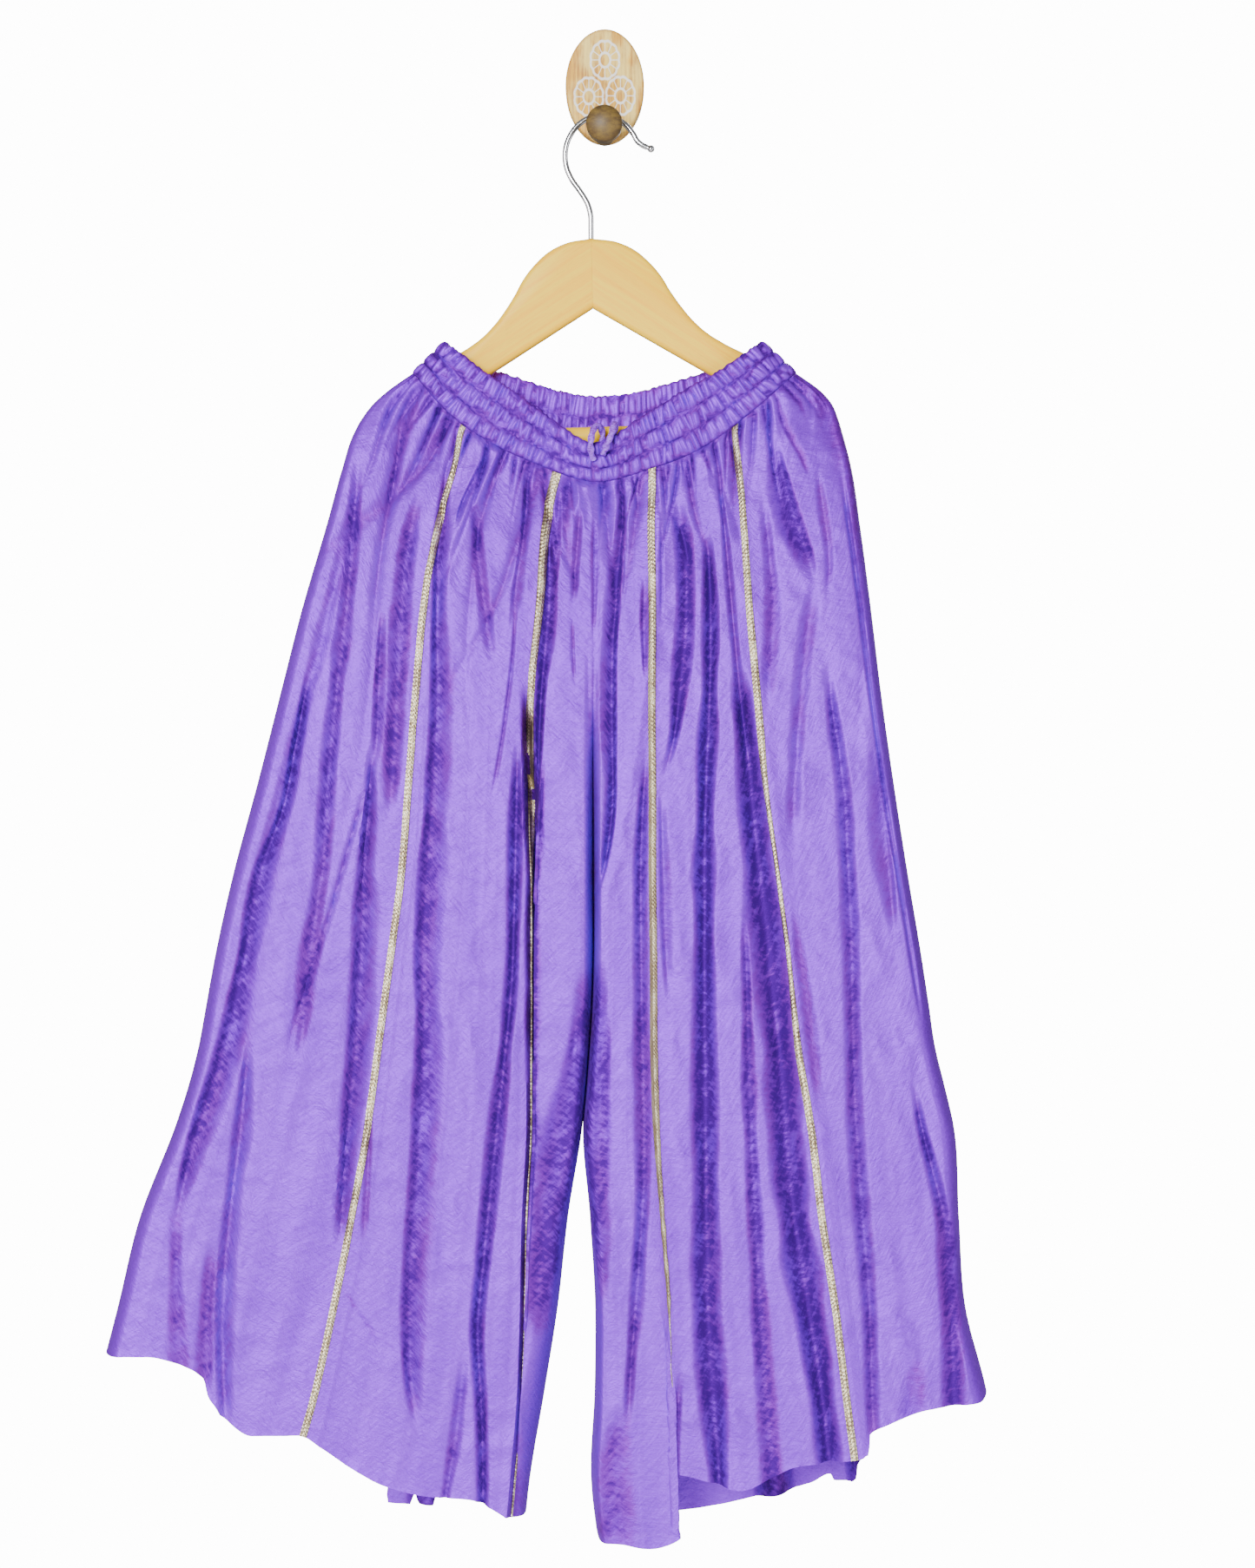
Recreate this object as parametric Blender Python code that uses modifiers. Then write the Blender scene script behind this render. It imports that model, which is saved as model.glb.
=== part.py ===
"""Child's sharara trousers hung by the waistband on a wooden hanger, on the peg of a wooden wall hook.

Metres, +Z up, the wall is the plane y = 0 and the front of the trousers faces -Y. The origin is the
centre of the wall plate's back face. Heights are written as drops below the origin.
"""

import math
from collections import namedtuple

import bmesh
import bpy
import numpy as np

# Cloth
WALL = 0.0014
SEAM_GAP = 0.0004
MIDDLE_Y = -0.040
CROTCH_DROP = 0.507
RISE_START_DROP = 0.385
EDGE_ROUND = 0.8
GATHER_DEPTH = 0.0018

# Sewn-on edging
TAPE_WIDTH = 0.0048
TAPE_THICK = 0.0008
TAPE_LIFT = 0.00045

# Waistband
BAND_RIBS = {"front": 60, "back": 40}
BAND_DEPTH_FRONT = 0.0155
BAND_DEPTH_BACK = 0.0145
BAND_FOLD = 0.105
RIB_RAISE = 0.0016
CHANNEL_PUFF = (0.45, 1.0, 0.0, 1.0, 0.0, 1.0, 0.1)

# Hanger
HANGER_Y = -0.040
HANGER_X = -0.0085
HANGER_TOP_DROP = 0.1029
ARM_THICK = 0.011
ARM_BEVEL = 0.003
HANGER_TILT = math.radians(1.6)
BAR_RADIUS = 0.0055
BAR_HALF = 0.134
BAR_BELOW_TOP = 0.1245
WIRE_RADIUS = 0.0018

# Wall hook
PLATE_WIDTH = 0.0505
PLATE_HEIGHT = 0.0730
PLATE_THICK = 0.012
PEG_DROP = 0.033
NECK_RADIUS = 0.006
KNOB_RADIUS = 0.0115
KNOB_BACK_Y = -0.0475
KNOB_LENGTH = 0.019
TOUCH = 0.00035

# One row for each level section of the garment: its drop, the place across of every long seam and
# outline, and how far the front and the back stand from the middle plane.
Section = namedtuple(
    "Section",
    "drop l_outer l_tape l_fold l_inner r_inner r_fold r_tape r_outer front back",
)
SECTIONS = [
    Section(0.188, -0.1215, -0.083, -0.017, -0.0072, -0.0068, 0.028, 0.077, 0.1215, 0.0150, 0.0140),
    Section(0.199, -0.1370, -0.085, -0.019, -0.0072, -0.0068, 0.028, 0.078, 0.1367, 0.0155, 0.0145),
    Section(0.207, -0.1460, -0.086, -0.021, -0.0072, -0.0068, 0.028, 0.079, 0.1438, 0.0160, 0.0150),
    Section(0.216, -0.1530, -0.088, -0.022, -0.0072, -0.0068, 0.029, 0.080, 0.1477, 0.0165, 0.0155),
    Section(0.227, -0.1590, -0.090, -0.025, -0.0072, -0.0068, 0.029, 0.082, 0.1510, 0.0175, 0.0165),
    Section(0.249, -0.1660, -0.094, -0.030, -0.0072, -0.0068, 0.030, 0.085, 0.1565, 0.0195, 0.0180),
    Section(0.282, -0.1750, -0.103, -0.038, -0.0072, -0.0068, 0.0295, 0.0883, 0.1614, 0.0240, 0.0210),
    Section(0.337, -0.1910, -0.114, -0.043, -0.0072, -0.0068, 0.0305, 0.0927, 0.1686, 0.0290, 0.0240),
    Section(0.392, -0.2050, -0.120, -0.046, -0.0072, -0.0068, 0.0305, 0.0960, 0.1752, 0.0320, 0.0260),
    Section(0.447, -0.2190, -0.124, -0.046, -0.0072, -0.0068, 0.0310, 0.1020, 0.1829, 0.0335, 0.0270),
    Section(0.507, -0.2350, -0.129, -0.046, -0.0073, -0.0067, 0.0310, 0.1097, 0.1922, 0.0345, 0.0280),
    Section(0.557, -0.2460, -0.136, -0.046, -0.0076, -0.0064, 0.0316, 0.1169, 0.2005, 0.0350, 0.0285),
    Section(0.612, -0.2560, -0.143, -0.046, -0.0102, -0.0088, 0.0320, 0.1224, 0.2087, 0.0355, 0.0290),
    Section(0.661, -0.2690, -0.150, -0.046, -0.0165, -0.0136, 0.0333, 0.1300, 0.2203, 0.0360, 0.0295),
    Section(0.722, -0.2920, -0.160, -0.049, -0.0245, -0.0085, 0.0370, 0.1372, 0.2241, 0.0370, 0.0300),
    Section(0.777, -0.3070, -0.171, -0.050, -0.0305, -0.0058, 0.0410, 0.1455, 0.2280, 0.0380, 0.0305),
    Section(0.832, -0.3210, -0.183, -0.052, -0.0388, -0.0063, 0.0426, 0.1520, 0.2417, 0.0390, 0.0310),
    Section(0.887, -0.3330, -0.199, -0.0565, -0.0470, -0.0085, 0.0443, 0.1598, 0.2500, 0.0400, 0.0315),
    Section(0.935, -0.3430, -0.213, -0.0610, -0.0520, -0.0030, 0.0454, 0.1650, 0.2560, 0.0400, 0.0320),
]

# One row for each station round the waistband, from the wearer's one side fold to the other: where
# its top and its lower edge lie, across and down.
Station = namedtuple("Station", "share top_x top_drop low_x low_drop")
BAND_FRONT = [
    Station(0.000, -0.101, 0.168, -0.1215, 0.188),
    Station(0.125, -0.079, 0.183, -0.099, 0.214),
    Station(0.250, -0.058, 0.200, -0.074, 0.232),
    Station(0.375, -0.036, 0.216, -0.047, 0.245),
    Station(0.500, -0.007, 0.233, -0.007, 0.258),
    Station(0.625, 0.022, 0.218, 0.029, 0.250),
    Station(0.750, 0.047, 0.202, 0.061, 0.237),
    Station(0.875, 0.074, 0.184, 0.094, 0.213),
    Station(1.000, 0.100, 0.168, 0.1215, 0.188),
]
BAND_BACK = [
    Station(0.000, -0.101, 0.168, -0.1215, 0.188),
    Station(0.125, -0.079, 0.181, -0.094, 0.213),
    Station(0.250, -0.055, 0.192, -0.064, 0.229),
    Station(0.375, -0.030, 0.201, -0.034, 0.239),
    Station(0.500, -0.004, 0.205, -0.007, 0.243),
    Station(0.625, 0.024, 0.2005, 0.027, 0.239),
    Station(0.750, 0.051, 0.192, 0.059, 0.229),
    Station(0.875, 0.077, 0.181, 0.092, 0.213),
    Station(1.000, 0.100, 0.168, 0.1215, 0.188),
]

BANDS = {
    "front": (BAND_FRONT, BAND_DEPTH_FRONT, -1),
    "back": (BAND_BACK, BAND_DEPTH_BACK, 1),
}

# One row for each trough between folds: the outline it follows, or none, three points down its
# length measured across from that, its half width and its depth.
Trough = namedtuple("Trough", "along x_top drop_top x_mid drop_mid x_low drop_low width depth")
FRONT_TROUGHS = [
    Trough("", -0.137, 0.260, -0.173, 0.392, -0.190, 0.584, 0.010, 0.006),
    Trough("", -0.196, 0.436, -0.223, 0.546, -0.266, 0.700, 0.011, 0.011),
    Trough("", -0.227, 0.634, -0.242, 0.749, -0.249, 0.900, 0.011, 0.012),
    Trough("", -0.120, 0.282, -0.149, 0.474, -0.169, 0.733, 0.011, 0.012),
    Trough("", -0.097, 0.271, -0.116, 0.584, -0.122, 0.950, 0.012, 0.010),
    Trough("", -0.083, 0.249, -0.078, 0.304, -0.075, 0.370, 0.008, 0.006),
    Trough("", -0.051, 0.252, -0.055, 0.304, -0.058, 0.353, 0.008, 0.006),
    Trough("l_fold", 0.000, 0.262, 0.000, 0.502, 0.000, 0.980, 0.014, 0.022),
    Trough("", -0.053, 0.557, -0.073, 0.722, -0.094, 0.950, 0.012, 0.012),
    Trough("", 0.003, 0.260, 0.008, 0.304, 0.005, 0.348, 0.007, 0.006),
    Trough("", 0.004, 0.381, 0.020, 0.568, 0.016, 0.800, 0.010, 0.008),
    Trough("r_fold", 0.000, 0.560, 0.000, 0.777, 0.000, 0.980, 0.011, 0.012),
    Trough("", 0.055, 0.260, 0.061, 0.502, 0.070, 0.950, 0.012, 0.013),
    Trough("", 0.078, 0.304, 0.105, 0.568, 0.133, 0.920, 0.013, 0.019),
    Trough("", 0.086, 0.524, 0.092, 0.667, 0.099, 0.950, 0.010, 0.009),
    Trough("", 0.100, 0.255, 0.111, 0.381, 0.125, 0.502, 0.010, 0.007),
    Trough("", 0.146, 0.260, 0.154, 0.502, 0.170, 0.920, 0.011, 0.011),
    Trough("", 0.170, 0.414, 0.195, 0.601, 0.223, 0.920, 0.011, 0.010),
]
BACK_TROUGHS = [
    Trough("", -0.140, 0.262, -0.185, 0.520, -0.262, 0.900, 0.013, 0.010),
    Trough("", -0.115, 0.250, -0.150, 0.560, -0.212, 0.950, 0.013, 0.013),
    Trough("", -0.085, 0.245, -0.110, 0.470, -0.133, 0.760, 0.011, 0.009),
    Trough("", -0.058, 0.250, -0.080, 0.600, -0.118, 0.960, 0.013, 0.013),
    Trough("", -0.030, 0.250, -0.040, 0.560, -0.068, 0.960, 0.012, 0.011),
    Trough("", 0.020, 0.250, 0.022, 0.560, 0.030, 0.960, 0.012, 0.011),
    Trough("", 0.048, 0.248, 0.060, 0.440, 0.070, 0.700, 0.011, 0.009),
    Trough("", 0.080, 0.250, 0.094, 0.580, 0.112, 0.960, 0.013, 0.013),
    Trough("", 0.112, 0.255, 0.136, 0.560, 0.172, 0.940, 0.013, 0.012),
    Trough("", 0.140, 0.270, 0.165, 0.520, 0.212, 0.880, 0.012, 0.010),
]

# The hem's outline, seen from the front: places across and drops.
HemPoint = namedtuple("HemPoint", "x drop")
FRONT_HEM = [
    HemPoint(-0.33, 0.8045),
    HemPoint(-0.3146, 0.8039),
    HemPoint(-0.285, 0.8030),
    HemPoint(-0.258, 0.8101),
    HemPoint(-0.2493, 0.8160),
    HemPoint(-0.2434, 0.8317),
    HemPoint(-0.2336, 0.8452),
    HemPoint(-0.2191, 0.8527),
    HemPoint(-0.1899, 0.8511),
    HemPoint(-0.1753, 0.8587),
    HemPoint(-0.158, 0.8706),
    HemPoint(-0.1364, 0.8841),
    HemPoint(-0.1094, 0.8906),
    HemPoint(-0.0829, 0.8916),
    HemPoint(-0.0705, 0.8949),
    HemPoint(-0.0537, 0.9030),
    HemPoint(-0.0078, 0.9046),
    HemPoint(-0.003, 0.9192),
    HemPoint(0.0116, 0.9192),
    HemPoint(0.0262, 0.9241),
    HemPoint(0.0322, 0.9192),
    HemPoint(0.0386, 0.9143),
    HemPoint(0.043, 0.8976),
    HemPoint(0.0457, 0.8781),
    HemPoint(0.063, 0.8819),
    HemPoint(0.0846, 0.8879),
    HemPoint(0.104, 0.8803),
    HemPoint(0.1186, 0.8733),
    HemPoint(0.1407, 0.8706),
    HemPoint(0.1602, 0.8684),
    HemPoint(0.1634, 0.8657),
    HemPoint(0.1651, 0.8538),
    HemPoint(0.1769, 0.8441),
    HemPoint(0.2061, 0.8344),
    HemPoint(0.2348, 0.8334),
    HemPoint(0.243, 0.8290),
]
BACK_HEM = [
    HemPoint(-0.33, 0.8030),
    HemPoint(-0.3146, 0.8025),
    HemPoint(-0.258, 0.8150),
    HemPoint(-0.2434, 0.8330),
    HemPoint(-0.219, 0.8530),
    HemPoint(-0.175, 0.8620),
    HemPoint(-0.15, 0.8800),
    HemPoint(-0.1413, 0.9100),
    HemPoint(-0.1089, 0.9105),
    HemPoint(-0.104, 0.8940),
    HemPoint(-0.054, 0.9030),
    HemPoint(-0.004, 0.9180),
    HemPoint(0.044, 0.9150),
    HemPoint(0.0718, 0.9094),
    HemPoint(0.1069, 0.9060),
    HemPoint(0.132, 0.8971),
    HemPoint(0.1448, 0.8910),
    HemPoint(0.1475, 0.8954),
    HemPoint(0.1632, 0.8954),
    HemPoint(0.1665, 0.8600),
    HemPoint(0.1769, 0.8500),
    HemPoint(0.2061, 0.8390),
    HemPoint(0.2348, 0.8340),
    HemPoint(0.243, 0.8290),
]

# Shares of the way from the waistband to the hem at which a panel has a row of points.
ROW_SHARES = (
    0, 0.012, 0.030, 0.058, 0.095, 0.140, 0.195, 0.260, 0.330, 0.405,
    0.485, 0.570, 0.655, 0.740, 0.825, 0.910, 1,
)

# One row for each cut panel of a leg: between which outlines it lies, where round the waistband it
# is gathered on, how many columns of points it has, and what its two long edges are.
Panel = namedtuple("Panel", "name left right band_from band_to columns left_edge right_edge")
FRONT_PANELS = [
    Panel("leg_l_front_side", "l_outer", "l_tape", 0.000, 0.178, 14, "side", "tape"),
    Panel("leg_l_front_middle", "l_tape", "l_fold", 0.178, 0.432, 15, "tape", "tape"),
    Panel("leg_l_front_inner", "l_fold", "l_inner", 0.432, 0.500, 9, "tape", "inseam"),
    Panel("leg_r_front_inner", "r_inner", "r_fold", 0.500, 0.629, 10, "inseam", "tape"),
    Panel("leg_r_front_middle", "r_fold", "r_tape", 0.629, 0.830, 14, "tape", "tape"),
    Panel("leg_r_front_side", "r_tape", "r_outer", 0.830, 1.000, 14, "tape", "side"),
]
BACK_PANELS = [
    Panel("leg_l_back_side", "l_outer", "l_tape", 0.000, 0.178, 9, "side", "plain"),
    Panel("leg_l_back_middle", "l_tape", "l_fold", 0.178, 0.432, 9, "plain", "plain"),
    Panel("leg_l_back_inner", "l_fold", "l_inner", 0.432, 0.500, 6, "plain", "inseam"),
    Panel("leg_r_back_inner", "r_inner", "r_fold", 0.500, 0.629, 6, "inseam", "plain"),
    Panel("leg_r_back_middle", "r_fold", "r_tape", 0.629, 0.830, 9, "plain", "plain"),
    Panel("leg_r_back_side", "r_tape", "r_outer", 0.830, 1.000, 9, "plain", "side"),
]
# Each edging, by the panel whose right edge it covers.
TAPES = {
    "leg_l_front_side": "tape_l_outer",
    "leg_l_front_middle": "tape_l_inner",
    "leg_r_front_inner": "tape_r_inner",
    "leg_r_front_middle": "tape_r_outer",
}

# Half of the hanger's outline, from the top of its centre joint out along the top of the arm, round
# the end and back along the underside: distances from the centre and drops below the top.
ARM_TOP = [
    (0, 0), (0.0165, 0.0027), (0.027, 0.0077), (0.037, 0.0165), (0.044, 0.0253), (0.049, 0.0341),
    (0.055, 0.0432), (0.063, 0.0534), (0.071, 0.0611), (0.0825, 0.0688), (0.097, 0.0765),
    (0.114, 0.0865), (0.130, 0.0966), (0.1384, 0.1038), (0.1438, 0.1117), (0.1455, 0.1220),
    (0.1430, 0.1310), (0.1350, 0.1345), (0.1260, 0.1330), (0.1190, 0.1235), (0.1100, 0.1110),
    (0, 0.0440),
]

# The wire's line, from its foot in the wood to its ball end: places across and drops.
WIRE_LINE = [
    (-0.0085, 0.1130), (-0.0085, 0.0960), (-0.0087, 0.0880), (-0.0105, 0.0810), (-0.0155, 0.0725),
    (-0.0205, 0.0655), (-0.0237, 0.0585), (-0.0248, 0.0525), (-0.0245, 0.0455), (-0.0212, 0.0365),
    (-0.0155, 0.0297), (-0.0085, 0.0257), (-0.0010, 0.0248), (0.0065, 0.0263), (0.0130, 0.0302),
    (0.0182, 0.0362), (0.0208, 0.0408), (0.0242, 0.0436), (0.0270, 0.0448),
]
WIRE_END_RADII = (1.0, 0.75, 1.25, 1.3, 0.7)

# The two free ends of the tie, over the top edge of the band: places across, out and down.
TIE_RADIUS = 0.0015
TIE_LEFT = [
    (-0.0010, -0.0524, 0.2465), (-0.0010, -0.0524, 0.2400), (-0.0010, -0.0524, 0.2335),
    (-0.0011, -0.0527, 0.2285), (-0.0019, -0.0545, 0.2248), (-0.0039, -0.0584, 0.2230),
    (-0.0062, -0.0622, 0.2250), (-0.0079, -0.0638, 0.2300), (-0.0086, -0.0628, 0.2355),
    (-0.0081, -0.0607, 0.2405), (-0.0066, -0.0594, 0.2450),
]
TIE_RIGHT = [
    (0.0060, -0.0523, 0.2440), (0.0060, -0.0523, 0.2380), (0.0061, -0.0522, 0.2320),
    (0.0064, -0.0528, 0.2270), (0.0068, -0.0547, 0.2235), (0.0069, -0.0585, 0.2218),
    (0.0062, -0.0621, 0.2238), (0.0047, -0.0638, 0.2285), (0.0026, -0.0630, 0.2335),
    (0.0006, -0.0610, 0.2378), (-0.0010, -0.0595, 0.2415),
]

VIOLET = (0.36, 0.20, 0.72, 1)
SILVER_GOLD = (0.74, 0.70, 0.58, 1)
PALE_WOOD = (0.80, 0.58, 0.27, 1)
PLATE_WOOD = (0.62, 0.45, 0.26, 1)
DARK_WOOD = (0.20, 0.14, 0.06, 1)
CHROME = (0.78, 0.79, 0.80, 1)


def clear_scene():
    for old in list(bpy.data.objects):
        bpy.data.objects.remove(old)


def new_collection(name, shown=True):
    made = bpy.data.collections.new(name)
    bpy.context.scene.collection.children.link(made)
    made.hide_render = not shown
    return made


def material(name, colour, roughness, metallic=0.0):
    made = bpy.data.materials.new(name)
    made.use_nodes = True
    shader = made.node_tree.nodes["Principled BSDF"]
    shader.inputs["Base Color"].default_value = colour
    shader.inputs["Roughness"].default_value = roughness
    shader.inputs["Metallic"].default_value = metallic
    return made


def smooth_step(value, low, high):
    share = np.clip((value - low) / (high - low), 0, 1)
    return share * share * (3 - 2 * share)


def curve_through(values, knots, at):
    """Smooth curve through a table's values, flat beyond its ends' slopes."""
    values = np.asarray(values, float)
    knots = np.asarray(knots, float)
    at = np.asarray(at, float)
    slopes = np.gradient(values, knots)
    i = np.clip(np.searchsorted(knots, at) - 1, 0, len(knots) - 2)
    width = knots[i + 1] - knots[i]
    share = np.clip((at - knots[i]) / width, 0, 1)
    rise = values[i + 1] - values[i]
    start, end = slopes[i] * width, slopes[i + 1] * width
    return (
        values[i]
        + share * start
        + share**2 * (3 * rise - 2 * start - end)
        + share**3 * (start + end - 2 * rise)
    )


SECTION_DROPS = [row.drop for row in SECTIONS]


def outline(name, drop):
    """Place across of a long seam or outline at a drop."""
    return curve_through([getattr(row, name) for row in SECTIONS], SECTION_DROPS, drop)


def stand_of(side, drop):
    return np.interp(drop, SECTION_DROPS, [getattr(row, side) for row in SECTIONS])


def quarter_round(distance, radius):
    """0 at an edge, rising like a quarter circle to 1 at radius from it."""
    share = np.clip(distance / radius, 0, 1)
    return np.sqrt(1 - (1 - share) ** 2)


def trough_share(row, x, drop, full):
    """How much of the cloth's stand one trough takes away, from 0 to 1."""
    places = (row.x_top, row.x_mid, row.x_low)
    line = curve_through(places, (row.drop_top, row.drop_mid, row.drop_low), drop)
    if row.along:
        line = line + outline(row.along, drop)
    across = np.clip(np.abs(x - line) / row.width, 0, 1)
    length = row.drop_low - row.drop_top
    fade = smooth_step(drop, row.drop_top, row.drop_top + 0.25 * length)
    fade = fade * (1 - smooth_step(drop, row.drop_low - 0.25 * length, row.drop_low))
    return 0.5 * (1 + np.cos(math.pi * across)) * fade * row.depth / full


def stand(side, leg, x, drop):
    """How far the cloth stands out from the middle plane at a place across and a drop."""
    full = stand_of(side, drop)
    outer_gap = np.abs(x - outline(leg + "_outer", drop))
    inner_gap = np.abs(x - outline(leg + "_inner", drop))
    open_rise = 1 - smooth_step(drop, RISE_START_DROP, CROTCH_DROP)
    inner_part = 1 - (1 - open_rise) * (1 - quarter_round(inner_gap, EDGE_ROUND * full))
    kept = 1.0
    for row in FRONT_TROUGHS if side == "front" else BACK_TROUGHS:
        kept = kept * (1 - np.minimum(trough_share(row, x, drop, full), 0.8))
    return full * quarter_round(outer_gap, EDGE_ROUND * full) * inner_part * kept


def hem_drop(rows, x):
    return np.interp(x, [row.x for row in rows], [row.drop for row in rows])


def band_points(side, share):
    """Outer points of the waistband's top and lower edge at shares round it."""
    rows, depth, toward = BANDS[side]
    share = np.clip(share, 0, 1)
    shares = [row.share for row in rows]
    out = SEAM_GAP / 2 + depth * quarter_round(np.minimum(share, 1 - share), BAND_FOLD)
    edges = []
    for across, down in (("top_x", "top_drop"), ("low_x", "low_drop")):
        x = curve_through([getattr(row, across) for row in rows], shares, share)
        drop = curve_through([getattr(row, down) for row in rows], shares, share)
        edges.append(np.stack([x, MIDDLE_Y + toward * out, -drop], axis=-1))
    return edges


def band_normal(side, share):
    """Unit normal of the waistband's outer face."""
    top, low = band_points(side, share)
    ahead = sum(band_points(side, share + 0.002))
    behind = sum(band_points(side, share - 0.002))
    return outward(np.cross(low - top, ahead - behind), side)


def outward(normal, side):
    normal = normal / np.maximum(np.linalg.norm(normal, axis=-1, keepdims=True), 1e-12)
    return normal if side == "front" else -normal


def panel_columns(panel, drop):
    """Shares across a panel at which it has a column of points at a drop, closer together at a
    rounded edge, with one column half an edging's width from a taped edge."""
    width = outline(panel.right, drop) - outline(panel.left, drop)
    share = np.linspace(0, 1, panel.columns + 1)
    closer = {
        "side": 1.6,
        "inseam": 1 + 0.6 * smooth_step(drop, RISE_START_DROP, CROTCH_DROP),
    }
    share = share ** closer.get(panel.left_edge, 1)
    share = 1 - (1 - share) ** closer.get(panel.right_edge, 1)
    tape = TAPE_WIDTH / 2 / width
    if panel.left_edge == "tape":
        share = np.concatenate([[0], tape + (1 - tape) * share[:-1], [1]])
    if panel.right_edge == "tape":
        share = np.concatenate([[0], share[1:] * (1 - tape), [1]])
    return share


def panel_rows(panel, side):
    """For each row and column of a panel: place across, drop, drop below the waistband, share
    round the waistband, and how much the column gathers."""
    hem = FRONT_HEM if side == "front" else BACK_HEM
    rows = []
    for row_share in ROW_SHARES:
        across = panel_columns(panel, 0.24 + 0.64 * row_share)
        band_share = panel.band_from + (panel.band_to - panel.band_from) * across
        top, low = band_points(side, band_share)
        down = (low - top) / np.linalg.norm(low - top, axis=1, keepdims=True)
        start = low + SEAM_GAP * down
        first_drop = -start[:, 2]
        last_drop = np.full(len(across), 0.88)
        for _ in range(4):
            last_drop = hem_drop(hem, between(panel, across, last_drop))
        drop = first_drop + (last_drop - first_drop) * row_share
        pull = (1 - smooth_step(row_share, 0, 0.2)) * (start[:, 0] - between(panel, across, first_drop))
        x = between(panel, across, drop) + pull
        flat = np.full(len(across), 1.0)
        flat[[0, -1]] = 0
        flat[1] = 0 if panel.left_edge == "tape" else 1
        flat[-2] = 0 if panel.right_edge == "tape" else 1
        rows.append(np.stack([x, drop, drop - first_drop, band_share, flat], axis=1))
    return np.array(rows)


def between(panel, across, drop):
    left, right = outline(panel.left, drop), outline(panel.right, drop)
    return left + (right - left) * across


def leg_side(side, panels):
    """Outer points, normals and inner points of one side of a leg, and each panel's first and last
    column."""
    toward = BANDS[side][2]
    blocks, spans, first = [], [], 0
    for panel in panels:
        block = panel_rows(panel, side)
        spans.append((first, first + block.shape[1]))
        first += block.shape[1] - 1
        blocks.append(block if panel is panels[0] else block[:, 1:])
    x, drop, below, band_share, gathers = np.moveaxis(np.concatenate(blocks, axis=1), 2, 0)
    out = stand(side, panels[0].left[0], x, drop)
    top, low = band_points(side, band_share[0])
    seam_out = toward * (low[:, 1] - MIDDLE_Y) - SEAM_GAP / 2
    out = out + (seam_out - out[0]) * (1 - smooth_step(below, 0, 0.07))
    column = np.arange(x.shape[1])
    reach = 0.035 + 0.045 * np.modf(column * 0.618)[0]
    push = np.minimum(GATHER_DEPTH, 0.35 * np.gradient(x, axis=1)) * gathers
    push = np.where(column % 2, push, -push)
    out = out + push * np.minimum(1, below / 0.006) * np.exp(-((below / reach) ** 2))
    points = np.stack([x, MIDDLE_Y + toward * (SEAM_GAP / 2 + np.maximum(out, 0)), -drop], axis=2)
    normal = outward(np.cross(np.gradient(points, axis=0), np.gradient(points, axis=1)), side)
    normal[0] = band_normal(side, band_share[0])
    inner = points - WALL * normal
    depth = np.maximum(toward * (inner[..., 1] - MIDDLE_Y), SEAM_GAP / 2)
    inner[..., 1] = MIDDLE_Y + toward * depth
    inner[..., 0] = np.clip(inner[..., 0], x[:, :1], x[:, -1:])
    return points, normal, inner, spans


def apart(points, span):
    """One panel's columns, its two long edges drawn in by half the gap at a seam."""
    across = np.gradient(points, axis=1) * (1, 1, 0)
    across /= np.linalg.norm(across, axis=2, keepdims=True)
    found = points[:, span[0]:span[1]].copy()
    found[:, 0] += SEAM_GAP / 2 * across[:, span[0]]
    found[:, -1] -= SEAM_GAP / 2 * across[:, span[1] - 1]
    return found


def shell(name, outer, inner, finish, group):
    """Closed wall between two grids of points."""
    rows, columns = outer.shape[:2]
    shape = bmesh.new()
    bmesh.ops.create_grid(shape, x_segments=columns - 1, y_segments=rows - 1, size=0.5)
    outer_verts = set(shape.verts)
    bmesh.ops.extrude_face_region(shape, geom=list(shape.faces))
    for vertex in shape.verts:
        column = round((vertex.co.x + 0.5) * (columns - 1))
        row = round((0.5 - vertex.co.y) * (rows - 1))
        vertex.co = outer[row, column] if vertex in outer_verts else inner[row, column]
    bmesh.ops.recalc_face_normals(shape, faces=shape.faces)
    mesh = bpy.data.meshes.new(name)
    shape.to_mesh(mesh)
    shape.free()
    return place_object(name, mesh, finish, group)


def place_object(name, mesh, finish, group):
    made = bpy.data.objects.new(name, mesh)
    group.objects.link(made)
    mesh.materials.append(finish)
    return made


def make_legs(satin, edging, group):
    """Leg panels, and an edging over each front seam made from the panels' own points moved out."""
    for side, panels in (("front", FRONT_PANELS), ("back", BACK_PANELS)):
        for leg in (panels[:3], panels[3:]):
            points, normal, inner, spans = leg_side(side, leg)
            for panel, span in zip(leg, spans):
                shell(panel.name, apart(points, span), apart(inner, span), satin, group)
                name = TAPES.get(panel.name)
                if name:
                    beside = slice(span[1] - 2, span[1] + 1)
                    under = points[:, beside] + normal[:, beside] * TAPE_LIFT
                    over = under + normal[:, beside] * TAPE_THICK
                    shell(name, over, under, edging, group)


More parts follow.
